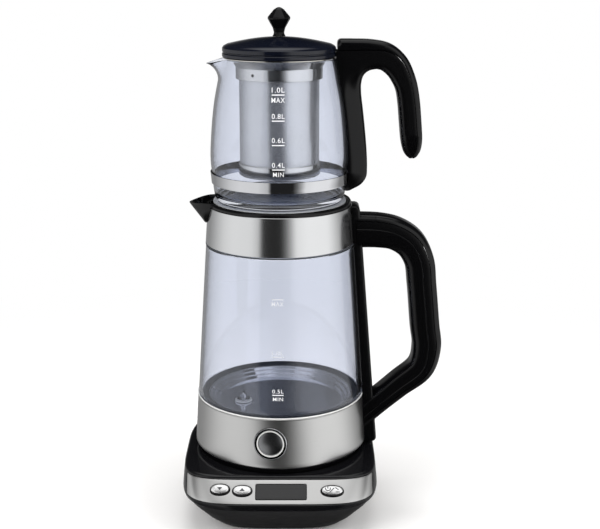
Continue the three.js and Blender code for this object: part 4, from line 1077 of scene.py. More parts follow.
@dataclass
class BaseShape:
    """Outer form of the base, drawn in towards its deck, with the console in front."""

    plan: Plan
    front_run: float = 16.6
    side_lean: float = 1.8
    deck_run: float = 3.0
    pocket_half: float = 80.3
    table_half: float = 84.9
    middle_half: float = 85.1
    steps: int = 256

    def __post_init__(self) -> None:
        """Works out the console's frame and the tables of its curve."""
        plan = self.plan
        self.rise = plan.fascia_top - plan.rim_top
        height = (plan.fascia_top + plan.rim_top) / 2
        self.middle = Vector((0, -plan.front_depth + self.front_run / 2, height))
        slope = math.atan2(self.rise, self.front_run)
        self.normal = Vector((0, -math.sin(slope), math.cos(slope)))
        self.up = Vector((0, math.cos(slope), math.sin(slope)))
        self.xs = np.linspace(-self.table_half, self.table_half, 1601)
        line = np.array([self.face(x, self.middle.z) for x in self.xs])
        self.runs = np.concatenate([[0], np.cumsum(np.linalg.norm(np.diff(line, axis=0), axis=1))])
        self.runs -= self.runs[len(self.runs) // 2]
        dense = np.linspace(0, 2 * math.pi, 4001)
        edge = np.array([plan_spot(a, plan.half_width, plan.front_depth, plan.back_depth) for a in dense])
        length = np.concatenate([[0], np.cumsum(np.linalg.norm(np.diff(edge, axis=0), axis=1))])
        even = list(np.interp(np.linspace(0, length[-1], self.steps, endpoint=False), length, dense))
        power = self.square(self.middle.z) / 2
        sides = (-self.pocket_half, self.pocket_half)
        ends = [2 * math.pi - math.acos(signed_power(x / self.middle_half, power)) for x in sides]
        self.angles = sorted(even + [end + shift for end in ends for shift in (-1e-3, 1e-3)])

    def square(self, z: float) -> float:
        """How square the front of the plan is at a height."""
        share = (z - self.plan.housing_low) / (self.plan.fascia_top - self.plan.housing_low)
        return lerp(FRONT_SQUARE, CONSOLE_SQUARE, clamp(share) ** 0.7)

    def face(self, x: float, z: float) -> Vector:
        """Point of the console's outer face at x and a height.

        Args:
            x: Place across the console.
            z: Height.

        Returns:
            The point on the face.
        """
        share = clamp((z - self.plan.rim_top) / self.rise)
        side = self.plan.half_width - share * self.side_lean
        front = self.plan.front_depth - share * self.front_run
        square = self.square(z)
        return Vector((x, -front * max(1 - (abs(x) / side) ** square, 0) ** (1 / square), z))

    def shell(self, angle: float, z: float, inset: float = 0.0) -> Vector:
        """Point of the housing's outer skin at a plan angle and a height, drawn in by an inset.

        Args:
            angle: Plan angle.
            z: Height.
            inset: How far the point is drawn in.

        Returns:
            The point on the skin.
        """
        share = clamp((z - self.plan.rim_top) / self.rise)
        roll = self.deck_run * (1 - math.sqrt(1 - clamp((z - self.plan.fascia_top) / 2) ** 2)) + inset
        side, front = share * self.side_lean + roll, share * self.front_run + roll
        plan = self.plan
        sizes = (plan.half_width - side, plan.front_depth - front, plan.back_depth - side)
        return Vector((*plan_spot(angle, *sizes, self.square(z)), z))

    def pocketed(self, angle: float, z: float, depth: float) -> Vector:
        """Point of the skin, sunk by a depth where the console's plate lies.

        Args:
            angle: Plan angle.
            z: Height.
            depth: How far the plate's place is sunk.

        Returns:
            The point.
        """
        spot = self.shell(angle, z)
        if spot.y > 0 or abs(spot.x) > self.pocket_half:
            return spot
        along = self.shell(angle + 1e-3, z) - self.shell(angle - 1e-3, z)
        rise = self.shell(angle, z + 0.05) - self.shell(angle, z - 0.05)
        return spot - along.cross(rise).normalized() * depth

    def loop(self, z: float, inset: float) -> list[Point]:
        """Outline of the tray at a height, drawn in by an inset."""
        plan = self.plan
        side, front, back = plan.half_width - inset, plan.front_depth - inset, plan.back_depth - inset
        return [(*plan_spot(a, side, front, back), z) for a in self.angles]

    def at(self, run: float, rise: float, lift: float) -> Vector:
        """Finds a point over the console.

        Args:
            run: Way along its curve from the middle.
            rise: Way up its slope from the middle.
            lift: Height square to its face.

        Returns:
            The point.
        """

        def flat(s: float, u: float) -> Vector:
            """Point on the face itself."""
            return self.face(float(np.interp(s, self.runs, self.xs)), self.middle.z + u * self.up.z)

        if lift == 0:
            return flat(run, rise)
        along = flat(run + 0.05, rise) - flat(run - 0.05, rise)
        up = flat(run, rise + 0.05) - flat(run, rise - 0.05)
        return flat(run, rise) + along.cross(up).normalized() * lift

    def layer(self, lift: float, corner: float = 0.0) -> Surface:
        """Surface at a height over the console's face, its edge rounded by a radius."""
        return lambda p, d: self.at(p[0], p[1], lift - rounding(d, corner))

    def spot(self, x: float, u: float) -> Flat:
        """Run and rise of the place where a bar square to the console at (x, u) meets its face.

        Args:
            x: Place across the console.
            u: Height of the bar along the slope, from the middle.

        Returns:
            The run and the rise.
        """
        z = self.middle.z + u * self.up.z
        for _ in range(4):
            here = (self.face(x, z) - self.middle).dot(self.up)
            there = (self.face(x, z + 0.1) - self.middle).dot(self.up)
            z += (u - here) / ((there - here) / 0.1)
        return (float(np.interp(x, self.xs, self.runs)), (z - self.middle.z) / self.up.z)

    def outline(self, flat: np.ndarray, x: float) -> np.ndarray:
        """Outline about a button's middle, laid on the console's face as runs and rises."""
        return np.array([self.spot(x + p[0], p[1]) for p in flat])

    def sunk(self, point: Vector, depth: float) -> Vector:
        """Point moved square to the console's middle until it lies at a depth in its frame."""
        return point + self.normal * (depth - (point - self.middle).dot(self.normal))

    def bar(self, name: str, flat: np.ndarray, x: float, low: float, high: float) -> Piece:
        """Straight bar of any outline, square to the console, between two depths."""
        line = [self.middle + Vector((x + p[0], 0, 0)) + self.up * p[1] for p in flat]
        return skin(name, [[spot + self.normal * depth for spot in line] for depth in (low, high)])


class Sign(Enum):
    """Marks on the console's buttons."""

    DOWN = "down"
    UP = "up"
    POWER = "power"

    def outlines(self) -> list[np.ndarray]:
        """Outlines of the mark, in millimetres about the button's middle.

        Returns:
            One closed outline for each stroke or arrow.
        """
        if self is Sign.POWER:
            turns = np.radians(np.linspace(140, 400, 30))
            outer = np.column_stack([2.5 * np.cos(turns) - 3.7, 2.0 * np.sin(turns) + 1.0])
            inner = np.column_stack([1.75 * np.cos(turns) - 3.7, 1.25 * np.sin(turns) + 1.0])[::-1]
            stem, slash = ((-3.7, 1.0), (-3.7, 3.0)), ((-2.2, -2.2), (1.6, 1.8))
            strokes = (stem, slash, ((2.5, 2.1), (5.2, 0.2)), ((3.0, -1.7), (6.2, -1.7)))
            return [np.vstack([outer, inner]), *(self.stroke(a, b) for a, b in strokes)]
        way = 1 if self is Sign.UP else -1
        return [np.array([(-2.3, -1.2 * way), (2.3, -1.2 * way), (0, 1.5 * way)])]

    @staticmethod
    def stroke(start: Flat, end: Flat, width: float = 0.75) -> np.ndarray:
        """Outline of a straight stroke between two points."""
        a, b = np.array(start), np.array(end)
        along = (b - a) / np.linalg.norm(b - a)
        aside = np.array([-along[1], along[0]]) * width / 2
        return np.array([a - aside, b - aside, b + aside, a + aside])


@dataclass(frozen=True)
class ConsoleButton:
    """A console button: its place across and up the slope, its length, and its sign."""

    name: str
    x: float
    rise: float
    length: float
    sign: Sign


@dataclass
class Base(Assembly):
    """Powered base: feet, tray, housing with its console, and the connector in its dock."""

    buttons: tuple[ConsoleButton, ...] = (
        ConsoleButton("minus", -50.48, 2.2, 16.48, Sign.DOWN),
        ConsoleButton("plus", -31.5, 0.9, 16.48, Sign.UP),
        ConsoleButton("power", 44.96, 0.9, 19.0, Sign.POWER),
    )
    button_height: float = 9.6
    button_square: float = 2.15
    cap_margin: float = 0.7
    cap_lift: float = 2.2
    clearance: float = 0.4
    pocket_depth: float = 1.5
    plate_depth: float = 1.2
    display_x: float = 1.484
    bar_low: float = -15.3
    bar_high: float = 3.0
    flange_top: float = -9.7
    flange_low: float = -10.5
    plunger_low: float = -12.4
    wall: float = 2.2
    rim_rows: Profile = (
        (30.3, 1.0), (30.45, 0.5), (30.9, 0.12), (31.5, 0.0), (34.9, 0.0), (35.35, 0.06), (35.5, 0.0),
        (35.8, 0.0)
    )
    pocket_heights: Sequence[float] = (36.1, 40.2, 44.3, 48.4, 52.4)
    roll_heights: Sequence[float] = (52.7, 53.0, 53.25, 53.6, 54.0, 54.35, 54.65, 54.85, 54.96)
    inner_rows: Profile = ((48.0, 5.38), (35.5, 5.38), (32.9, 2.4), (30.3, 2.4))
    screw_line: Profile = (
        (0, 1.8), (2.3, 1.8, 0.3), (3.0, 2.5, 0.3), (3.0, 3.8), (1.3, 3.8), (1.3, 13.2), (0.7, 14.0),
        (0, 14.0)
    )
    gland_line: Profile = (
        (3.0, -6.2, 0.3), (5.0, -6.2, 0.5), (5.0, 0.3), (7.5, 0.3, 0.3), (7.5, 1.9, 0.7), (5.4, 1.9),
        (4.7, 2.6), (4.7, 3.2), (5.0, 3.5), (5.0, 4.1), (4.6, 4.4), (4.6, 5.0), (4.9, 5.3), (4.7, 6.0, 0.3),
        (3.0, 6.0, 0.3)
    )
    connector_line: Profile = (
        (0, 45.9), (21.8, 45.9, 0.3), (21.8, 48.3, 0.3), (17.8, 48.3), (17.8, 61.5, 0.8), (11.8, 61.5, 0.3),
        (11.8, 53.625), (9.8, 53.625), (9.8, 61.5, 0.3), (4.0, 61.5, 0.3), (4.0, 53.625), (2.0, 53.625),
        (2.0, 59.5, 0.5), (0, 59.5)
    )

    def build(self) -> None:
        """Builds and presents every piece of the base."""
        self.shape = BaseShape(self.plan)
        self.housing()
        self.fascia()
        self.tray()
        self.fittings()
        self.window()
        for button in self.buttons:
            self.button(button)

    def round_button(self, button: ConsoleButton, more: float, count: int = 96) -> np.ndarray:
        """Outline of a button made larger all over, about its own middle."""
        return oval(button.length + more, self.button_height + more, self.button_square, count)

    def opening(self, button: ConsoleButton) -> np.ndarray:
        """Outline of a button's opening, about the console's middle height."""
        return self.round_button(button, 2 * self.clearance) + (0, button.rise)

    def housing(self) -> None:
        """Glossy housing: rim, console pocket, rolled deck edge and the round dock."""
        shape, plan = self.shape, self.plan
        low, *_, high = self.pocket_heights
        rows = [[shape.shell(a, z, inset) for a in shape.angles] for z, inset in self.rim_rows]
        sunk = [(low, 0.0), *((z, self.pocket_depth) for z in self.pocket_heights), (high, 0.0)]
        rows += [[shape.pocketed(a, z, depth) for a in shape.angles] for z, depth in sunk]
        rows += [[shape.shell(a, z) for a in shape.angles] for z in (*self.roll_heights, plan.deck)]
        edge, wide = rows[-1], plan.dock_radius
        rings = [
            (75.6, plan.deck), (74.3, plan.deck), (73.9, 54.9), (73.68, 54.65), (wide, 54.3), (wide, 51.3)
        ]
        rings += [
            (73.3, plan.dock), (46.0, plan.dock), (19.0, plan.dock), (18.4, 50.9), (18.1, 50.6),
            (18.1, 48.6)
        ]
        for r, z in [*rings, (60.0, 48.6)]:
            reach = [math.hypot(p.x, p.y) for p in edge]
            rows.append([Vector((r * p.x / d, r * p.y / d, z)) for p, d in zip(edge, reach)])
        rows += [[shape.shell(a, z, inset) for a in shape.angles] for z, inset in self.inner_rows]
        count = len(shape.angles)
        faces: list[Face] = []
        for k in range(len(rows)):
            faces += wall_faces(k * count, (k + 1) % len(rows) * count, count)
        piece = mesh_object("housing_shell", [p for row in rows for p in row], faces)
        flats = [(self.opening(button), button.x) for button in self.buttons]
        flats.append((rounded_box(40, 10.5, 1.0), self.display_x))
        bars = [shape.bar("opening", flat, x, self.bar_low, self.bar_high) for flat, x in flats]
        self.present(combine(piece, bars), "base", DECK_BLACK, "base_housing", sharp=28)

    def fascia(self) -> None:
        """Brushed plate let into the console, pierced for the buttons and the display."""
        shape = self.shape
        end, half = float(np.interp(80.0, shape.xs, shape.runs)), (52.1 - shape.middle.z) / shape.up.z
        holes = [shape.outline(self.opening(button), button.x) for button in self.buttons]
        holes.append(shape.outline(rounded_box(43.6, 14.1, 1.0, 0.7), self.display_x))
        field = filled(rounded_box(2 * end, 2 * half, 0.8, 1.0), holes, 2.4, 0.35)
        piece = raised("console_plate", field, shape.layer(0, 0.3), shape.layer(-self.plate_depth))
        self.present(piece, "base", FASCIA, "base_fascia", sharp=40)

    def window(self) -> None:
        """Dark window over the display."""
        shape = self.shape
        field = filled(shape.outline(rounded_box(43.0, 13.5, 0.8, 0.7), self.display_x), [], 2.4, 0.4)
        piece = raised("display_glass", field, shape.layer(0, 0.35), shape.layer(-self.plate_depth))
        self.present(piece, "base", DISPLAY, "display_window", sharp=40)

    def button(self, button: ConsoleButton) -> None:
        """One console button: skirt with its flange and plunger, silver cap, and the mark printed on it.

        Args:
            button: Place, length and mark of the button.
        """
        shape, body, x, length = self.shape, f"{button.name}_button", button.x, button.length
        # The cap is 2 mm shorter than the button and sits 0.55 mm up the slope, so the skirt's gloss black
        # shows below it as a dark crescent: partly the skirt's own black, partly painted shade for the gap
        # under the cap.
        height, lift = self.button_height - 2.0, (0, button.rise + 0.55)
        middle = shape.spot(x, lift[1])

        def crown(place: Flat, depth: float) -> Vector:
            """Point of the cap's slightly domed top."""
            reach = ((place[0] - middle[0]) / length * 2) ** 2 + ((place[1] - middle[1]) / height * 2) ** 2
            return shape.at(place[0], place[1], self.cap_lift - 0.3 * reach - rounding(depth, 0.9))

        def foot(place: Flat, depth: float) -> Vector:
            """Point of the skirt's flat lower end."""
            return shape.sunk(shape.at(place[0], place[1], 0), self.flange_top)

        field = filled(shape.outline(self.round_button(button, 0) + (0, button.rise), x), [], 1.6, 0.5)
        skirt = raised("skirt", field, shape.layer(0.95, 0.4), foot)
        flat = self.round_button(button, 2, 64)
        flange = shape.bar("flange", flat, x, self.flange_low, self.flange_top)
        plunger = shape.bar("plunger", oval(3.0, 3.0, 2.0, 32), x, self.plunger_low, self.flange_low)
        skirt = joined(f"{body}_skirt", [skirt, flange, plunger])
        self.present(skirt, body, GLOSS_BLACK, f"button_{button.name}", sharp=40)
        flat = oval(length - 2 * self.cap_margin, height, self.button_square, 96) + lift
        field = filled(shape.outline(flat, x), [], 1.1, 0.9)
        cap = raised(f"{body}_cap", field, crown, shape.layer(0.4))
        self.present(cap, body, BUTTON_SILVER, sharp=40)
        half = shape.normal * 0.05
        sides = (lambda p, d: crown(p, 5) + half, lambda p, d: crown(p, 5) - half)
        flats = [shape.outline(even_loop(flat, 0.25) + lift, x) for flat in button.sign.outlines()]
        marks = [raised("mark", filled(flat, [], 0.6, 0.0), *sides) for flat in flats]
        self.present(joined(f"{body}_mark", marks), body, PRINT_DARK)

    def tray(self) -> None:
        """Tapered tray under the housing, hollow, with pockets for the feet and the screws."""
        shape, top = self.shape, self.plan.tray_top
        line = spline([(2.6, 24.8), (9.0, 17.6), (15.75, 11.82), (23.0, 5.6), (29.4, 1.45)], 16)
        rings = [shape.loop(1.5, 26.6), shape.loop(1.58, 25.9), shape.loop(1.9, 25.3)]
        rings += [shape.loop(z, inset) for z, inset in line]
        rings += [shape.loop(29.8, 1.25), shape.loop(top, 1.5), shape.loop(top, 3.4)]
        rings += [shape.loop(z, inset + self.wall) for z, inset in reversed(line[1:])]
        piece = skin("tray_shell", [*rings, shape.loop(3.7, 27.6)])
        pads = [placed(rod("pad", 5.4, 2.6, 6.0), Matrix.Translation(spot)) for spot in self.screws()]
        cuts = [placed(rod("seat", 3.3, -1.5, 4.1), Matrix.Translation(spot)) for spot in self.screws()]
        cuts += [placed(rod("bore", 1.6, 1.5, 9.0), Matrix.Translation(spot)) for spot in self.screws()]
        cuts += [placed(rod("pocket", 7.3, -1.5, 2.9), Matrix.Translation(spot)) for spot in self.feet()]
        cuts.append(placed(rod("inlet", 5.3, -5.2, 6), self.inlet()))
        combine(piece, pads, Join.ADD)
        self.present(combine(piece, cuts), "base", TRAY_GREY, "base_tray", sharp=34)

    def feet(self) -> list[Point]:
        """Places of the rubber feet."""
        return [(side * 43.0, y, 0) for side in (1, -1) for y in (-47.8, 45.0)]

    def screws(self) -> list[Point]:
        """Places of the screws."""
        return [(side * 49.02, way * 21.6, 0) for side in (1, -1) for way in (1, -1)]

    def inlet(self) -> Matrix:
        """Frame of the cord inlet, its Z axis square to the tray's leaning back wall."""
        return Matrix.Translation((0, 82.96, 22.16)) @ Matrix.Rotation(-math.pi / 2 - 0.64, 4, "X")

    def fittings(self) -> None:
        """Feet, screws, cord inlet and connector."""
        foot = turned("foot", [(0, 0), (6.4, 0, 0.3), (7.0, 0.7, 0.4), (7.0, 2.6, 0.3), (0, 2.6)], 48)
        feet = Repeat("rubber_feet", foot, self.feet(), RUBBER).made()
        self.present(feet, "base", RUBBER, *(f"base_foot_{k}" for k in range(1, 5)))
        screw = turned("screw", self.screw_line, 40)
        slots = [block("slot", (-x, -y, 1), (x, y, 2.7)) for x, y in ((1.6, 0.35), (0.35, 1.6))]
        screws = Repeat("housing_screws", combine(screw, slots), self.screws(), ZINC).made()
        self.present(screws, "base", ZINC, *(f"base_screw_{k}" for k in range(1, 5)))
        gland = placed(turned("cord_inlet_sleeve", self.gland_line, 64), self.inlet())
        self.present(gland, "base", RUBBER, "cord_gland")
        connector = turned("dock_connector", self.connector_line, 96)
        self.present(connector, "base", SATIN_BLACK, "base_connector")


# Swept bars


Station = tuple[float, float, float, float]


@dataclass
class Sweep:
    """A bar of changing rounded section swept along a line in the XZ plane.

    Each station is (x, z, thickness in the plane, width across it). Shallow grooves run along both sides,
    each at a distance from the outer edge.
    """

    stations: Sequence[Station]
    grooves: Sequence[Flat] = ()
    exponent: float = 4.2

    def frames(self) -> list[tuple[Vector, Vector]]:
        """Middle and outward direction at each station.

        Returns:
            A middle and a direction for each station.
        """
        made = []
        for k, here in enumerate(self.stations):
            before, after = self.stations[max(k - 1, 0)], self.stations[min(k + 1, len(self.stations) - 1)]
            way = Vector((after[0] - before[0], 0, after[1] - before[1])).normalized()
            made.append((Vector((here[0], 0, here[1])), Vector((-way.z, 0, way.x))))
        return made

    def side(self, thick: float, width: float) -> list[Flat]:
        """One side of the section from its outer to its inner edge, as (outward, across).

        Args:
            thick: Thickness in the plane.
            width: Width across it.

        Returns:
            Places on the side, in order.
        """

        def half(a: float) -> float:
            """Half width at a place from the middle outwards."""
            return width / 2 * max(1 - abs(2 * a / thick) ** self.exponent, 0) ** (1 / self.exponent)

        def turn(a: float) -> float:
            """Angle at which the section passes that place."""
            return math.acos(signed_power(clamp(2 * a / thick, -1, 1), self.exponent / 2))

        wide = min(0.45, 0.05 * thick)
        places = [(thick / 2 - min(place, 0.47 * thick), depth) for place, depth in self.grooves]
        stops = [0.0, *(turn(a + way * wide) for a, _ in places for way in (1, -1)), math.pi]
        made: list[Flat] = []
        for k in range(0, len(stops), 2):
            for j in range(11):
                share = j / 10
                if k == 0:
                    share = share**1.6
                elif k == len(stops) - 2:
                    share = 1 - (1 - share) ** 1.6
                a = thick / 2 * signed_power(math.cos(lerp(stops[k], stops[k + 1], share)), 2 / self.exponent)
                made.append((a, half(a)))
            if k // 2 < len(places):
                a, depth = places[k // 2]
                made.append((a, half(a) - depth))
        return made

    def solid(self, name: str) -> Piece:
        """The closed bar.

        Args:
            name: Name of the object.

        Returns:
            The bar as an object.
        """
        rings = []
        for (middle, out), (_, _, thick, width) in zip(self.frames(), self.stations):
            side = self.side(thick, width)
            ring = [middle + out * a + Vector((0, b, 0)) for a, b in side]
            ring += [middle + out * a - Vector((0, b, 0)) for a, b in reversed(side[1:-1])]
            rings.append(ring)
        return skin(name, rings)

    def outer(self, name: str, depth: float, first: float, last: float, wide: float = 40.0) -> Piece:
        """Makes a box-like bar along the outer edge, for parting a cap.

        Args:
            name: Name of the object.
            depth: Depth below the outer edge at which the bar starts.
            first: Station at which it starts, with a fraction.
            last: Station at which it ends.
            wide: Half of its width.

        Returns:
            The bar.
        """
        frames = self.frames()
        marks = [first, *(k for k in range(len(frames)) if first + 0.1 < k < last - 0.1), last]
        rings = []
        for mark in marks:
            k = min(int(mark), len(frames) - 2)
            middle, out = (frames[k][j].lerp(frames[k + 1][j], mark - k) for j in range(2))
            thick = lerp(self.stations[k][2], self.stations[k + 1][2], mark - k)
            low, high = thick / 2 - depth, thick / 2 + 4
            corners = ((low, -wide), (low, wide), (high, wide), (high, -wide))
            rings.append([middle + out * a + Vector((0, b, 0)) for a, b in corners])
        return skin(name, rings)


# Kettle


@dataclass
class Kettle(Assembly):
    """Glass kettle: bottom, bands, heating dish, collar with its beak, lid and handle."""

    button_turn: float = -95.8
    button_height: float = 82.8
    glass_inset: float = 0.4
    glass_wall: float = 2.8
    band_wall: float = 0.8
    loop_start: float = 69.4
    loop_reach: float = 61.4
    loop_low: float = 79.7
    loop_rise: float = 173.4
    loop_thickness: float = 29.8
    loop_width: float = 26.2
    spine_half: float = 12.0
    coupler_line: Profile = (
        (0, 61.8), (10.1, 61.8), (10.1, 56.55, 0.3), (11.5, 56.55, 0.3), (11.5, 61.8), (18.1, 61.8),
        (18.1, 53.3, 0.4), (21.3, 53.3, 0.4), (21.3, 65.4, 0.8), (0, 65.4)
    )
    cover_line: Profile = (
        (21.6, 53.3), (65.1, 53.3, 0.4), (67.1, 51.3, 0.6), (72.6, 51.3, 1.2), (73.4, 59.2, 0.3),
        (73.4, 61.5), (75.04, 63.5), (75.34, 67.1), (73.34, 67.1), (73.34, 63.5), (67.1, 55.3), (21.6, 55.3)
    )
    edge_line: Profile = (
        (73.35, 104.52), (74.45, 104.52, 0.3), (74.6, 105.0, 0.3), (74.35, 105.6, 0.3),
        (73.75, 105.75, 0.3), (73.35, 105.3)
    )
    bezel_line: Profile = (
        (13.2, -5.5), (14.3, -5.5), (14.3, 0.5, 0.3), (14.0, 1.0, 0.3), (13.6, 0.9, 0.2), (13.2, -0.6, 0.2)
    )
    well_line: Profile = ((3.3, -11), (12.9, -11), (12.9, -1, 0.2), (11.9, -1, 0.2), (11.9, -10), (3.3, -10))
    trim_line: Profile = (
        (10.7, -3), (11.75, -3), (11.75, 0.3, 0.3), (11.4, 0.65, 0.3), (10.9, 0.5, 0.3), (10.7, 0.1)
    )
    disc_line: Profile = (
        (0, -11.925), (3, -11.925, 0.3), (3, -6), (11.3, -6, 0.3), (11.3, -3.3), (10.6, -3.3),
        (10.6, -0.6, 0.3), (8.6, -0.12), (6.4, 0.27), (3.2, 0.59), (0, 0.7)
    )
    dish_line: Profile = (
        (64.608, 104.5, 0.3), (62.6, 104.2, 0.6), (61.3, 102.0, 0.5), (59.6, 101.7, 0.5), (58.1, 99.2, 0.5),
        (56.3, 98.9, 0.5), (54.8, 96.5, 0.7)
    )
    gasket_line: Profile = (
        (64.908, 98.7, 0.3), (69.908, 98.7, 0.3), (69.908, 105.2), (69.6, 106.8, 0.3), (68.9, 107.0, 0.3),
        (64.908, 104.2, 0.3)
    )
    probe_line: Profile = (
        (0, 84.5), (3, 84.5, 0.4), (3, 98.4), (6, 98.4, 0.3), (6, 99.4, 0.4), (3, 99.7, 0.3),
        (3, 103.4, 1.0), (1.5, 104.9, 0.6), (0, 104.9)
    )
    collar_line: Profile = (
        (49.9, 274.2, 0.4), (59.5, 274.2), (61.62, 246.8), (63.52, 246.8), (61.4, 276.3), (61.4, 276.6),
        (62.2, 276.6, 0.3), (62.1, 278.4, 0.8), (61.2, 279.9, 0.8), (59.4, 279.9, 0.6), (58.3, 277.4),
        (49.9, 277.4, 0.4)
    )
    lid_line: Profile = (
        (57.6, 279.9, 0.3), (48.6, 279.9, 0.8), (34.0, 278.9, 0.5), (33.0, 277.9, 0.5), (20.0, 277.9, 0.5),
        (19.0, 278.9, 0.5), (0, 278.9)
    )
    loop_line: Profile = (
        (-0.04, 1, 1), (0.29, 0.996, 0.977), (0.51, 0.98, 0.943), (0.726, 0.93, 0.923), (0.86, 0.84, 0.88),
        (0.905, 0.72, 0.86), (0.965, 0.5, 0.87), (1, 0.385, 0.86), (0.92, 0.272, 0.8), (0.6, 0.175, 0.73),
        (0.27, 0.075, 0.7), (-0.03, -0.02, 0.7)
    )

    def build(self) -> None:
        """Builds and presents every piece of the kettle."""
        plan = self.plan
        turn = math.radians(self.button_turn)
        tilt = math.atan2(plan.foot_radius - plan.top_radius, plan.upper_band_top - plan.band_low)
        reach = plan.body_radius(self.button_height)
        spot = Matrix.Translation((reach * math.cos(turn), reach * math.sin(turn), self.button_height))
        self.socket = spot @ Matrix.Rotation(turn, 4, "Z") @ Matrix.Rotation(math.pi / 2 - tilt, 4, "Y")
        self.bottom()
        self.lower_band()
        self.front_button()
        self.glass()
        self.dish()
        self.upper_band()
        self.collar()
        self.lid()
        self.handle()

    def bottom(self) -> None:
        """Coupler and black bottom cover."""
        coupler = turned("kettle_coupler_ring", self.coupler_line, 96)
        self.present(coupler, "coupler", SATIN_BLACK, "kettle_coupler")
        cover = turned("kettle_underside", self.cover_line, 192)
        self.present(cover, "kettle", SATIN_BLACK, "kettle_bottom_cover")

    def lower_band(self) -> None:
        """Brushed band with its rolled foot and the round opening for the button."""
        plan = self.plan
        foot = plan.body_radius(61.7)
        turns = [math.pi / 2 * k / 8 for k in range(8)]
        outer = [(foot - 2.05 * (1 - math.sin(t)), 61.7 - 2.2 * math.cos(t)) for t in turns]
        outer += [(plan.body_radius(z), z) for z in np.linspace(61.7, 104.2, 16)]
        outer = [p for p in outer if p[1] < 103]
        bead = [(0.0, 103.1), (0.28, 103.3), (0.42, 103.7), (0.38, 104.1), (0.15, 104.4)]
        bead += [(-0.2, plan.band_top), (-0.8, plan.band_top)]
        outer += [(plan.body_radius(103.2) + lift, z) for lift, z in bead]
        inner = [(plan.body_radius(z) - self.band_wall, z) for z in np.linspace(103.5, 61.9, 8)]
        band = turned("lower_steel_band", [*outer, *inner, (73.9, 60.3)], 256)
        opening = placed(rod("opening", 14.6, -11, 11, 0, 96), self.socket)
        self.present(combine(band, [opening]), "kettle", LOWER_BRUSHED, "lower_band", sharp=30)
        self.present(turned("lower_band_edge", self.edge_line, 256), "kettle", ROLLED_EDGE, sharp=60)

    def front_button(self) -> None:
        """Round button in the lower band: chrome bezel, dark well, trim ring and domed cap."""
        for name, line, body, finish, node in (
            ("button_surround", self.bezel_line, "kettle", POLISHED, "button_bezel"),
            ("button_pocket", self.well_line, "kettle", SATIN_BLACK, "button_well"),
            ("button_trim", self.trim_line, "heat_button", ROLLED_EDGE, "front_button_ring"),
            ("button_disc", self.disc_line, "heat_button", DARK_MIRROR, "front_button"),
        ):
            steps = 96 if name == "button_pocket" else 128
            self.present(placed(turned(name, line, steps), self.socket), body, finish, node)

    def glass_radius(self, z: float) -> float:
        """Outer radius of the glass at a height."""
        return self.plan.body_radius(z) - self.glass_inset

    def glass(self) -> None:
        """Tapered glass wall, its scale and the seal above it."""
        plan = self.plan
        outer = [(self.glass_radius(z), z) for z in np.linspace(107.2, 241.0, 36)]
        inner = [(r - self.glass_wall, z) for r, z in reversed(outer)]
        neck = [(63.9, plan.shoulder, 0.2), (63.673, 241.8), (63.673, 246.5, 0.4)]
        neck += [(61.773, 246.5, 0.4), (61.7, plan.shoulder)]
        foot = [(70.208, plan.band_top), (70.208, 98.0, 0.5), (73.008, 98.0, 0.5), (73.008, 104.8)]
        line = [*foot[2:], *outer, *neck, *inner, *foot[:2]]
        self.present(turned("kettle_wall", line, 192), "kettle", GLASS, "kettle_glass")
        seal = ring_piece("shoulder_seal", 63.973, plan.body_radius(241.8), 241.8, 243.0, 0.3, 192)
        self.present(seal, "kettle", SILICONE, "upper_seal")
        marks = [Mark("0.5L", 129.2, 9.6, 3.3, -1.0), Mark("MIN", 122.4, 8.6, 3.2, -1.0)]
        pale = [Mark("1.0L", 162.4, 9.6, 3.3, -1.0), Mark("MAX", 204.5, 9.8, 3.9, -1.0)]
        scale = printed_scale("kettle_scale", marks, [(125.9, 9.6, -1.0)], self.glass_radius)
        self.present(scale, "kettle", PRINT_WHITE)
        lines = [(z, 9.6, -1.0) for z in (159.1, 208.4)]
        scale = printed_scale("kettle_upper_scale", pale, lines, self.glass_radius)
        self.present(scale, "kettle", PRINT_PALE)

    def dish(self) -> None:
        """Stepped heating dish with its gasket, and the temperature probe with its washer."""
        under = [(r, z - 1, *e) for r, z, *e in reversed(self.dish_line)]
        dish = turned("heating_plate", [(0, 95.5), *under, *self.dish_line, (20, 96.5), (0, 96.5)], 192)
        spot = Matrix.Translation((-33.055, -7.997, 0))
        hole = placed(rod("hole", 3.3, 90, 100), spot)
        self.present(combine(dish, [hole]), "kettle", DISH_STEEL, "heating_dish", sharp=40)
        self.present(turned("dish_seal_ring", self.gasket_line, 192), "kettle", SILICONE, "dish_gasket")
        washer = ring_piece("probe_washer", 3.3, 7.6, 96.8, 98.1, 0.4, 64)
        self.present(placed(washer, spot), "kettle", WHITE_SILICONE, "probe_seal")
        probe = placed(turned("heat_probe", self.probe_line, 64), spot)
        self.present(probe, "kettle", POLISHED, "temperature_probe")

    def upper_band(self) -> None:
        """Brushed band below the collar."""
        plan = self.plan
        outer = [(plan.body_radius(z), z) for z in np.linspace(243.55, 276.05, 14)]
        bottom, top, wall = plan.upper_band_low, plan.upper_band_top, self.band_wall
        low, high = plan.body_radius(bottom), plan.body_radius(top)
        line = [(low - 0.25, bottom), *outer, (high - 0.25, top), (high - wall, top), (low - wall, bottom)]
        self.present(turned("upper_steel_band", line, 256), "kettle", BRUSHED, "upper_band", sharp=34)

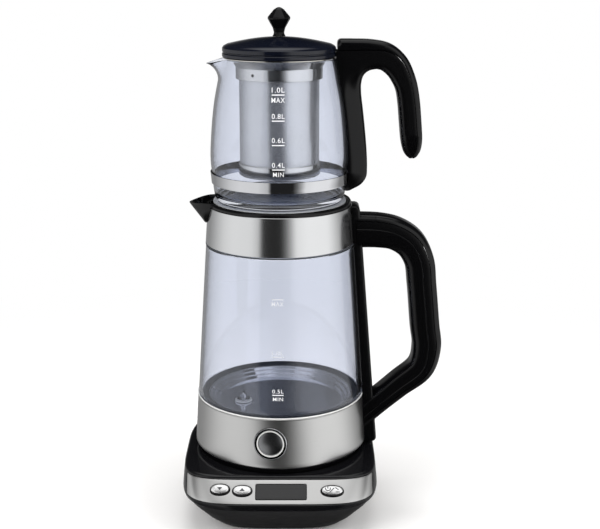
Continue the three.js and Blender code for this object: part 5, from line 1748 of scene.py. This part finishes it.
    def beak(self, name: str, shrink: float, lift: float) -> Piece:
        """Makes the pouring beak as a solid, or its channel.

        Args:
            name: Name of the object.
            shrink: How far it is drawn in on all sides.
            lift: How far its top is lifted.

        Returns:
            The solid.
        """
        rings = []
        for k in range(33):
            share = k / 32
            x = lerp(-54.0, -78.4 + shrink, 1 - (1 - share) ** 1.5)
            ahead = clamp((-x - 54.0) / 24.5)
            wide = (22.0 - shrink) * max(1 - ahead**2.1, 0.0) ** 0.8 + 0.35
            top = self.plan.collar_top - 2.2 * smooth((-x - 61.0) / 20.0) + lift
            keel = lerp(259.7, 277.0, clamp((-x - 64.9) / 13.5) ** 0.92) + 2 * shrink
            keel = min(keel, top - 0.8)
            turns = [math.pi * j / 24 for j in range(25)]
            sides = [wide * signed_power(math.cos(t), 0.9) for t in turns]
            heights = [top - (top - keel) * math.sin(t) ** 0.85 for t in turns]
            edge = [(x, share * wide, top) for share in (-0.5, 0, 0.5)]
            rings.append([*((x, y, z) for y, z in zip(sides, heights)), *edge])
        return skin(name, rings)

    def collar(self) -> None:
        """Black collar with its pouring beak."""
        plan = self.plan
        ring = turned("kettle_neck_collar", self.collar_line, 192)
        core = rod("core", 56.9, 240, 288, 0, 192)
        low, high = (plan.body_radius(z) + 0.3 for z in (plan.upper_band_low, plan.upper_band_top))
        sleeve = [(0, 240), (low, 240), (high, 276.6), (0, 276.6)]
        outside = combine(self.beak("beak", 0.0, 0.0), [core, turned("band_room", sleeve, 192)])
        channel = self.beak("channel", 2.0, 3.0)
        combine(ring, [outside], Join.ADD)
        self.present(combine(ring, [channel]), "kettle", GLOSS_BLACK, "kettle_collar", sharp=36)

    def lid(self) -> None:
        """Stepped steel lid with steam holes, on its silicone ring."""
        below = [(r, z - 1.0, *e) for r, z, *e in reversed(self.lid_line)]
        plate = turned("kettle_cover", [*below, *self.lid_line], 192)
        holes = []
        for k in range(6):
            spot = (26.5 * math.cos(math.pi / 3 * k), 26.5 * math.sin(math.pi / 3 * k), 0)
            holes.append(placed(rod("hole", 2.6, 270, 285), Matrix.Translation(spot)))
        self.present(combine(plate, holes), "kettle_lid", COVER_STEEL, "kettle_lid", sharp=30)
        seal = ring_piece("kettle_cover_seal", 50.2, 57.3, 277.7, 278.6, 0.3, 160)
        self.present(seal, "kettle_lid", SILICONE, "kettle_lid_seal")

    def handle(self) -> None:
        """Spine down the glass and the swept loop with its parted cap."""
        plan = self.plan
        start, reach, low, rise = self.loop_start, self.loop_reach, self.loop_low, self.loop_rise
        thick = self.loop_thickness
        line = spline([(start + x * reach, low + z * rise, t * thick) for x, z, t in self.loop_line], 102)
        sweep = Sweep([(x, z, t, self.loop_width) for x, z, t in line], ((5.15, 0.6), (12.0, 0.35)))
        first, last = 7.0, 96.0
        foot_x, top_x = plan.body_radius(58) + 9.6, plan.body_radius(276) + 6.9
        turns = np.linspace(0, math.pi / 2, 8)
        corner = [(lerp(foot_x - 4, foot_x, math.sin(t)), lerp(62, 58, math.cos(t))) for t in turns]
        crest = [(lerp(top_x - 4, top_x, math.cos(t)), lerp(272, 276, math.sin(t))) for t in turns]
        outline = even_loop([(50, 58), *corner, *crest, (50, 276)], 2.0)
        field = filled(outline, [], 5.0, 2.0)
        spine = upright("loop_handle", field, lambda p, d: self.spine_half - rounding(d, 2))
        combine(spine, [sweep.solid("loop")], Join.ADD)
        rows = [(plan.body_radius(z) + 0.3, z) for z in np.linspace(55, 279, 40)]
        cuts = [turned("body", [(0, 55), *rows, (0, 279)], 192), sweep.outer("seam", 5.3, first, last)]
        cuts.append(placed(rod("bore", 3.5, 55, 67), Matrix.Translation((81.79, 0, 0))))
        self.present(combine(spine, cuts), "kettle", SATIN_BLACK, "kettle_handle", sharp=30)
        parting = sweep.outer("seam", 5.0, first + 0.1, last - 0.1)
        cap = combine(sweep.solid("loop_handle_cap"), [parting], Join.KEEP_COMMON)
        self.present(cap, "kettle", GLOSS_BLACK, "kettle_handle_cap", sharp=30)


# Printed scales


@dataclass(frozen=True)
class Mark:
    """A word or number of a scale: its text, height of its middle, width, height and sideways place."""

    text: str
    z: float
    width: float
    height: float
    x: float = 0.0


def printed(mark: Mark, radius: Callable[[float], float]) -> Piece:
    """Makes a mark as thin letters laid on the front of a round wall.

    Args:
        mark: The mark.
        radius: Gives the wall's radius at a height.

    Returns:
        The letters as one object.
    """
    curve = bpy.data.curves.new("letters", "FONT")
    curve.body = mark.text
    curve.extrude = 0.02
    curve.offset = 0.002
    curve.space_character = 1.12
    holder = linked("letters", curve)
    mesh = evaluated(holder)
    bpy.data.objects.remove(holder)
    spots = np.array([tuple(v.co) for v in mesh.vertices])
    low, high = spots.min(axis=0), spots.max(axis=0)
    points = []
    for spot in spots:
        share = (spot - low) / (high - low)
        z = mark.z + (share[1] - 0.5) * mark.height
        reach = radius(z) + 0.01 + 0.03 * share[2]
        turn = (mark.x + (share[0] - 0.5) * mark.width) / reach
        points.append((reach * math.sin(turn), -reach * math.cos(turn), z))
    return mesh_object("letters", points, [tuple(face.vertices) for face in mesh.polygons])


def printed_scale(
    name: str, marks: Sequence[Mark], lines: Sequence[Point], radius: Callable[[float], float]
) -> Piece:
    """Makes the words and level lines of a scale on a round wall.

    Args:
        name: Name of the object.
        marks: The words and numbers.
        lines: The level lines, each as (height, width, sideways place).
        radius: Gives the wall's radius at a height.

    Returns:
        The scale as one object.
    """
    pieces = [printed(mark, radius) for mark in marks]
    for z, width, x in lines:
        rings = []
        for turn in np.linspace(x - width / 2, x + width / 2, 17) / radius(z):
            ring = []
            for dz, lift in ((-0.42, 0.01), (0.42, 0.01), (0.42, 0.04), (-0.42, 0.04)):
                reach = radius(z + dz) + lift
                ring.append((reach * math.sin(turn), -reach * math.cos(turn), z + dz))
            rings.append(ring)
        pieces.append(skin("line", rings))
    return joined(name, pieces)


# Teapot, its filter and its lid


@dataclass
class Teapot(Assembly):
    """Glass teapot with its hoop, spout lip, hooked handle and scale."""

    lip_reach: float = 13.5
    lip_height: float = 18.0
    lip_half_angle: float = 27.0
    lip_droop: float = 4.3
    wall: float = 2.4
    hoop_low: float = 295.8
    hoop_high: float = 305.4
    hook_start: float = 60.0
    hook_reach: float = 53.8
    hook_top: float = 404.7
    hook_drop: float = 88.935
    hook_thickness: float = 25.0
    hook_width: float = 21.0
    grip_half: float = 10.6
    leg_reach: float = 16.0
    root_x: float = 48.93
    glass_line: Profile = (
        (0.013, 0.93), (0.064, 0.955), (0.17, 0.977), (0.3, 1), (0.5, 0.98), (0.7, 0.934), (0.85, 0.875),
        (0.93, 0.845), (1, 0.815)
    )
    hook_line: Profile = (
        (0, 0, 1), (0.335, 0.002, 0.96), (0.558, 0.028, 0.92), (0.716, 0.105, 0.88), (0.825, 0.215, 0.8),
        (0.89, 0.32, 0.745), (0.93, 0.46, 0.74), (0.961, 0.652, 0.74), (0.985, 0.82, 0.72),
        (0.995, 0.91, 0.62), (1, 0.97, 0.4), (1, 1, 0.16)
    )
    leg_line: Profile = (
        (0.1, 0.069), (0.64, 0.11), (0.92, 0.164), (0.96, 0.23), (0.92, 0.358), (0.82, 0.5), (0.7, 0.641),
        (0.59, 0.76), (0.585, 0.83), (0.7, 0.885), (0.98, 0.917), (1.38, 0.928)
    )

    def __post_init__(self) -> None:
        """Works out the line of the glass."""
        plan = self.plan
        low, high, wide = plan.teapot_low, plan.teapot_height, plan.teapot_radius
        self.curve = spline([(r * wide, low + z * high) for z, r in self.glass_line], 56)

    def radius(self, z: float) -> float:
        """Outer radius of the glass at a height."""
        return float(np.interp(z, [p[1] for p in self.curve], [p[0] for p in self.curve]))

    def build(self) -> None:
        """Builds and presents every piece of the teapot."""
        self.glass()
        self.hoop()
        self.handle()
        marks = [Mark("1.0L", 380.2, 10.4, 3.9), Mark("MAX", 372.2, 10.8, 3.9)]
        marks += [Mark(text, z, 10.4, 3.9) for text, z in (("0.8L", 359.4), ("0.6L", 340.1), ("0.4L", 320.0))]
        marks.append(Mark("MIN", 312.2, 8.8, 3.7))
        lines = [(z, 10.2, 0.0) for z in (376.3, 355.7, 336.1, 316.2)]
        self.present(printed_scale("teapot_scale", marks, lines, self.radius), "teapot", PRINT_WHITE)

    def glass(self) -> None:
        """Blown glass body with its pulled lip."""
        rim = self.plan.teapot_rim
        outer = [p for p in self.curve if p[1] < rim - 0.8]
        inner = [(r - self.wall, z) for r, z in reversed(outer) if z > 288]
        low = self.plan.teapot_low
        under = [(0, 282.2), (20, 282.1), (40, 281.4, 3), (49.95, low, 1.0), (53.95, low, 0.8)]
        floor = [(54.2, 287.4), (52.2, 285.8), (48.0, 285.2), (0, 285.0)]
        line = [*under, *outer, (48.4, rim, 0.8), (46.0, rim, 0.8), *inner, *floor]
        jug = turned("teapot_body", line, 240)
        foot = rim - self.lip_height

        def pull(spot: Vector) -> Vector:
            """Pulls the rim outwards and down at the lip.

            Args:
                spot: Point of the jug.

            Returns:
                The point in its new place.
            """
            turn = math.pi - abs(math.atan2(spot.y, spot.x))
            if spot.z <= foot or turn > math.radians(self.lip_half_angle):
                return spot
            across = math.cos(math.pi / 2 * turn / math.radians(self.lip_half_angle)) ** 2
            push = self.lip_reach * across * ((spot.z - foot) / self.lip_height) ** 1.7
            share = 1 + push / math.hypot(spot.x, spot.y)
            droop = self.lip_droop * across * ((spot.z - foot) / self.lip_height) ** 3
            return Vector((spot.x * share, spot.y * share, spot.z - droop))

        self.present(reshape(jug, pull), "teapot", GLASS, "teapot_glass", sharp=50)

    def hoop(self) -> None:
        """Polished hoop round the foot of the glass."""
        rows = [(self.radius(z) + 1.2, z) for z in np.linspace(296.3, 304.9, 8)]
        bottom, top = self.hoop_low, self.hoop_high
        low, high = self.radius(bottom) + 0.9, self.radius(top) + 0.9
        line = [(low - 0.35, bottom), (low + 0.05, bottom), (low + 0.28, 295.95), *rows]
        line += [(high + 0.28, 305.25), (high + 0.05, top), (high - 0.35, top)]
        self.present(turned("teapot_base_hoop", line, 240), "teapot", POLISHED, "teapot_hoop", sharp=40)

    def handle(self) -> None:
        """Leg along the glass and the hook that ends free, with its parted cap."""
        plan = self.plan
        rim = plan.teapot_rim
        start, reach, top, drop = self.hook_start, self.hook_reach, self.hook_top, self.hook_drop
        steps, thick = 110, self.hook_thickness
        line = spline(self.hook_line, steps)
        stations = [(start + x * reach, top - z * drop, t * thick, self.hook_width) for x, z, t in line]
        frames = Sweep(stations).frames()
        outer, seam, inner = [], [], []
        for k, ((middle, out), station) in enumerate(zip(frames, stations)):
            share = k / steps
            half = station[2] / 2
            depth = lerp(9.0, 5.2, smooth(share / 0.3))
            if share >= 0.3:
                depth = lerp(5.2, 4.2, (share - 0.3) / 0.6)
            outer.append(np.array((middle + out * half).xz))
            seam.append(np.array((middle + out * (half - min(depth, 0.95 * half))).xz))
            inner.append(np.array((middle - out * half).xz))
        reach, rise = self.leg_reach, plan.teapot_height
        chosen = [(self.hook_start + x * reach, plan.teapot_low + z * rise) for x, z in self.leg_line]
        leg = [np.array(p) for p in spline(chosen, 66)]
        start = next(k for k in range(steps + 1) if inner[k][0] > leg[-1][0] + 1)
        back = []
        for z in np.linspace(rim, 288.6, 90):
            room = 1.75 if 295.4 < z < 305.8 else 0.3
            back.append(np.array((self.radius(z) + room, z)))
        root_seam = np.array((self.root_x, seam[0][1]))
        curve = ((0.0, 3.2), (0.25, 1.95), (0.94, 0.94), (1.95, 0.25), (3.2, 0.0))
        root_top = [np.array((self.root_x + a, outer[0][1] - b)) for a, b in curve]
        foot = np.array((self.radius(288.6) + 0.3, 288.5))
        grip = [root_seam, *seam, *inner[:start - 1:-1], *reversed(leg), foot, *reversed(back)]
        grip.append(np.array((self.root_x, rim)))
        bare = np.array([seam[-1], *inner[:start - 1:-1], *reversed(leg)])
        parted = np.array([root_seam, *seam])
        leg_line = np.array(leg)
        field = filled(even_loop(grip, 1.3), [], 2.6, 4.5)

        def half_width(place: Flat, line: np.ndarray, facet: bool) -> float:
            """Half width at a place: rounded along a line, drawn in at the tip and beside the leg.

            Args:
                place: Place in the handle's plane.
                line: Outline that the width is rounded along.
                facet: True where the side beside the leg is drawn in.

            Returns:
                Half the width there, at least 1.
            """
            spot = np.array([place])
            wide = self.grip_half
            if place[0] > 95:
                wide *= lerp(1.0, 0.55, smooth((338 - place[1]) / 22))
            wide -= rounding(float(distance(spot, line, False)[0]), 4.5)
            wide -= rounding(float(distance(spot, parted, False)[0]), 0.8)
            if facet and place[0] < 85:
                near = float(distance(spot, leg_line, False)[0])
                wide -= 3.4 * (1 - clamp((near - 3.5) / 9.5)) * smooth((392 - place[1]) / 22)
            return max(wide, 1.0)

        def wrapped(place: Flat, y: float) -> Point:
            """Point drawn back round the glass, where it is close to it."""
            gap = place[0] - self.radius(min(place[1], rim))
            round_glass = place[0] - math.sqrt(max(place[0] ** 2 - y**2, 0))
            return (place[0] - round_glass * clamp(1 - gap / 12), y, place[1])

        sides = [lambda p, d, way=way: wrapped(p, way * half_width(p, bare, True)) for way in (1, -1)]
        made = raised("hook_handle", field, *sides)
        self.present(made, "teapot", SATIN_BLACK, "teapot_handle", sharp=30)
        under = [p - np.array(frames[k][1].xz) * -0.3 for k, p in enumerate(seam)]
        cap = [*root_top, *outer, *reversed(under), root_seam + np.array((0, 0.3))]
        crown = np.array([*root_top, *outer, under[-1]])
        field = filled(even_loop(cap, 1.2), [], 2.2, 3.5)
        made = upright("hook_handle_cap", field, lambda p, d: half_width(p, crown, False))
        self.present(made, "teapot", GLOSS_BLACK, "teapot_handle_cap", sharp=30)


@dataclass
class Filter(Assembly):
    """Tea strainer that hangs from the rim of the teapot."""

    collar_line: Profile = (
        (34.33, 384.5), (36.83, 384.5, 0.4), (36.83, 394.1, 0.6), (40.63, 401.5, 0.5), (47.23, 401.5, 0.3),
        (47.23, 402.3, 0.3), (40.2, 402.3, 0.5), (36.3, 394.9, 0.6), (36.03, 394.1), (36.03, 385.3),
        (34.33, 385.3)
    )
    foot_line: Profile = (
        (0, 302.5), (33.9, 302.5, 0.8), (35.13, 303.6, 0.5), (35.13, 313.0, 0.2), (34.33, 313.0, 0.2),
        (34.33, 303.5), (0, 303.3)
    )

    def build(self) -> None:
        """Builds and presents the collar, the drum and its foot."""
        collar = turned("filter_rim", self.collar_line, 192)
        turn = math.radians(-125)
        spot = Matrix.Translation((36.8 * math.cos(turn), 36.8 * math.sin(turn), 389.3))
        spot = spot @ Matrix.Rotation(turn, 4, "Z") @ Matrix.Rotation(math.pi / 2, 4, "Y")
        vent = placed(rod("vent", 1.3, -3, 3), spot)
        self.present(combine(collar, [vent]), "filter", SPUN, "filter_collar", sharp=34)
        drum = ring_piece("filter_drum", 33.43, 34.03, 304.1, 386.1, 0.1, 192)
        self.present(drum, "filter", STRAINER, "filter_mesh")
        self.present(turned("filter_base", self.foot_line, 192), "filter", SPUN, "filter_foot")


@dataclass
class Lid(Assembly):
    """Domed lid of the teapot with its faceted knob."""

    radius: float = 48.129
    dome_rise: float = 7.0
    knob_line: Profile = (
        (0, 427.3), (1.7, 427.3), (1.7, 419.3), (5.6, 419.3, 0.3), (4.6, 421.2, 0.8), (4.4, 422.6, 0.6),
        (5.3, 426.2), (9.35, 433.4, 0.5), (9.6, 434.3, 0.4), (9.2, 435.5, 0.5), (4.2, 441.4, 0.8),
        (1.6, 443.0, 0.5), (0, 443.3)
    )

    def build(self) -> None:
        """Builds and presents the lid and the knob."""
        shares = (0.92, 0.84, 0.74, 0.63, 0.52, 0.42, 0.32, 0.24, 0.17)
        dome = [(self.radius * s, 412.0 + self.dome_rise * (1 - s**2 * 0.96) ** 1.15) for s in shares]
        line = [
            (2, 416.4), (26.2, 412), (35.63, 408.9), (35.63, 397.4), (37.43, 397.4, 0.5), (37.43, 402.6),
            (47.6, 402.6, 0.4), (48.13, 403.3, 0.3), (48.13, 405.5, 0.5), (47.43, 406.2, 0.2),
            (47.43, 406.7, 0.2), (48.0, 407.3, 0.4), (48.0, 410.2, 0.6), (47.5, 410.8, 0.2),
            (46.9, 411.6, 0.6)
        ]
        line += [*dome, (6.3, 418.95), (2, 419)]
        self.present(turned("teapot_cover", line, 192), "teapot_lid", LID_BLACK_PAINTED_SHEEN, "teapot_lid", sharp=32)
        knob = turned("cover_knob", self.knob_line, 12)
        self.present(knob, "teapot_lid", SATIN_BLACK, "lid_knob", sharp=12)


# Studio


@dataclass
class Studio:
    """Plain pale floor, soft light and the camera of the photograph."""

    place: Point = (17.6, -1022.9, 491.3)
    pitch: float = 75.2
    lens: float = 72.0
    lamps: tuple[tuple[str, Point, Point, float, float], ...] = (
        ("left_softbox", (-900, -650, 900), (0, 0, 200), 900, 9.0),
        ("right_softbox", (1000, -500, 850), (0, 0, 200), 900, 9.0),
        ("top_softbox", (0, 100, 1500), (0, 0, 150), 1100, 12.0),
    )
    floor_reach: float = 6000.0
    wall: Profile = (
        (-180, 0.3), (-160, 0.3), (-140, 0.3), (-122, 0.47), (-95, 0.82), (-77, 0.93), (-44, 0.9),
        (-31, 0.66), (-27, 0.02), (3, 0.02), (10, 0.16), (18, 0.5), (26, 1.0), (44, 1.1), (80, 1.08),
        (98, 0.7), (116, 0.3), (140, 0.22), (160, 0.25), (180, 0.3)
    )

    def build(self) -> None:
        """Sets the floor, the lamps, the world and the camera."""
        self.floor()
        self.world()
        for lamp in self.lamps:
            self.lamp(*lamp)
        camera = linked("camera", bpy.data.cameras.new("camera"))
        camera.data.lens = self.lens
        camera.data.sensor_width = 36.0
        camera.data.sensor_fit = "HORIZONTAL"
        camera.data.clip_start, camera.data.clip_end = 0.05, 50.0
        camera.location = Vector(self.place) * MM
        camera.rotation_euler = (math.radians(self.pitch), 0, 0)
        SCENE.camera = camera
        SCENE.view_settings.view_transform = "Standard"

    def lamp(self, name: str, spot: Point, aim: Point, size: float, power: float) -> None:
        """Adds a soft square lamp.

        Args:
            name: Its name.
            spot: Its place.
            aim: The place that it faces.
            size: Length of its sides.
            power: Its power in watts.
        """
        light = bpy.data.lights.new(name, "AREA")
        light.shape, light.size, light.energy = "SQUARE", size * MM, power
        made = linked(name, light)
        made.location = Vector(spot) * MM
        made.rotation_euler = (Vector(aim) - Vector(spot)).to_track_quat("-Z", "Y").to_euler()
        made.visible_glossy = made.visible_transmission = False

    def floor(self) -> None:
        """Lays a wide pale floor that melts into the white background."""
        reach = self.floor_reach
        corners = [(x, y, 0) for x, y in ((-reach, -reach), (reach, -reach), (reach, reach), (-reach, reach))]
        made = mesh_object("studio_floor", corners, [(0, 1, 2, 3)])
        for polygon in made.data.polygons:
            if polygon.normal.z < 0:
                polygon.flip()
        surface, build = blank_material("pale_studio_floor")
        tint = build.mixed(build.noise(build.place(), 3.0), (0.89, 0.88, 0.87, 1), (0.91, 0.90, 0.89, 1))
        rays = build.node("ShaderNodeLightPath").outputs
        seen = build.math("MAXIMUM", rays["Is Camera Ray"], rays["Is Transmission Ray"])
        direct = build.times(seen, build.math("LESS_THAN", rays["Diffuse Depth"], 0.5))
        length = build.node("ShaderNodeVectorMath", {"operation": "LENGTH"}, i0=build.place())
        far = build.eased(length.outputs["Value"], 0.22, 0.75)
        glow = build.times(direct, build.ranged(far, 0.0, 1.0, 0.03, 0.0))
        light = {"Emission_Color": (1, 1, 1, 1), "Emission_Strength": glow}
        shader = build.node("ShaderNodeBsdfPrincipled", Base_Color=tint, Roughness=0.9, **light)
        white = build.node("ShaderNodeEmission", Color=(1, 1, 1, 1), Strength=1.0)
        inputs = {"i0": build.times(direct, far), "i1": shader.outputs[0], "i2": white.outputs[0]}
        faded = build.node("ShaderNodeMixShader", **inputs)
        clear = build.node("ShaderNodeBsdfTransparent")
        mirrored = build.math("GREATER_THAN", rays["Glossy Depth"], 0.5)
        inputs = {"i0": mirrored, "i1": faded.outputs[0], "i2": clear.outputs[0]}
        opened = build.node("ShaderNodeMixShader", **inputs)
        build.node("ShaderNodeOutputMaterial", Surface=opened.outputs[0])
        made.data.materials.append(surface)

    def world(self) -> None:
        """White backdrop for the camera and through glass, and a soft studio wall for reflections."""
        world = bpy.data.worlds.new("studio")
        SCENE.world = world
        world.use_nodes = True
        world.node_tree.nodes.clear()
        build = Tree(world.node_tree)
        x, y, z = build.parts(build.place("Generated"))
        turn = build.math("ARCTAN2", x, build.times(y, -1.0))
        low = build.ranged(z, -0.36, -0.24, 1.0, 0.0)
        late = build.ranged(turn, -0.6, 0.3, 0.14, 0.36)
        turn = build.math("SUBTRACT", turn, build.times(late, low))
        ramp = build.node("ShaderNodeValToRGB", Fac=build.math("MULTIPLY_ADD", turn, 0.5 / math.pi, 0.5))
        points = ramp.color_ramp.elements
        edge = self.wall[0][1]
        points[0].color = points[-1].color = (edge, edge, edge, 1)
        for angle, light in self.wall[1:-1]:
            points.new((angle + 180) / 360).color = (light, light, light, 1)
        side = build.math("ABSOLUTE", x)
        behind = build.times(build.eased(y, 0.3, 0.8), build.eased(z, 0.0, 0.2))
        dim = build.ranged(side, 0.03, 0.2, 0.92, 0.5)
        kept = build.math("SUBTRACT", 1.0, build.times(behind, dim))
        front = build.eased(y, -0.5, -0.1, 1.0, 0.0)
        high = build.math("MAXIMUM", build.eased(z, 0.05, 0.32, 1.0, 0.15), front)
        under = build.eased(z, -0.85, -0.5, 0.15, 1.0)
        kept = build.times(kept, build.times(high, under))
        walled = build.times(ramp.outputs[0], kept)
        top = build.eased(side, 0.22, 0.55, 1.2, 0.06)
        studio = build.node("ShaderNodeMix", i0=build.eased(z, 0.62, 0.9), i2=walled, i3=top).outputs[0]
        rays = build.node("ShaderNodeLightPath").outputs
        mirrored = build.math("GREATER_THAN", rays["Glossy Depth"], 0.5)
        diffused = build.math("GREATER_THAN", rays["Diffuse Depth"], 0.5)
        bare = build.mixed(mirrored, (1, 1, 1, 1), studio)
        shown = build.mixed(diffused, bare, (0.5, 0.5, 0.5, 1))
        light = build.node("ShaderNodeBackground", Color=shown, Strength=1.0)
        build.node("ShaderNodeOutputWorld", Surface=light.outputs[0])


def dress_carried() -> None:
    """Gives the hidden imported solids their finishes."""
    for finish, names in CARRIED.items():
        for node in (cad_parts[name] for name in names):
            for slot in node.material_slots:
                slot.material = finish.material()
            if not node.material_slots:
                node.data.materials.append(finish.material())


def main() -> None:
    """Builds the whole tea maker, its studio and its camera."""
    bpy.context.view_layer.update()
    plan = Plan()
    for part in (Base(plan), Kettle(plan), Teapot(plan), Filter(plan), Lid(plan)):
        part.build()
    dress_carried()
    Studio().build()


if __name__ == "__main__":
    main()
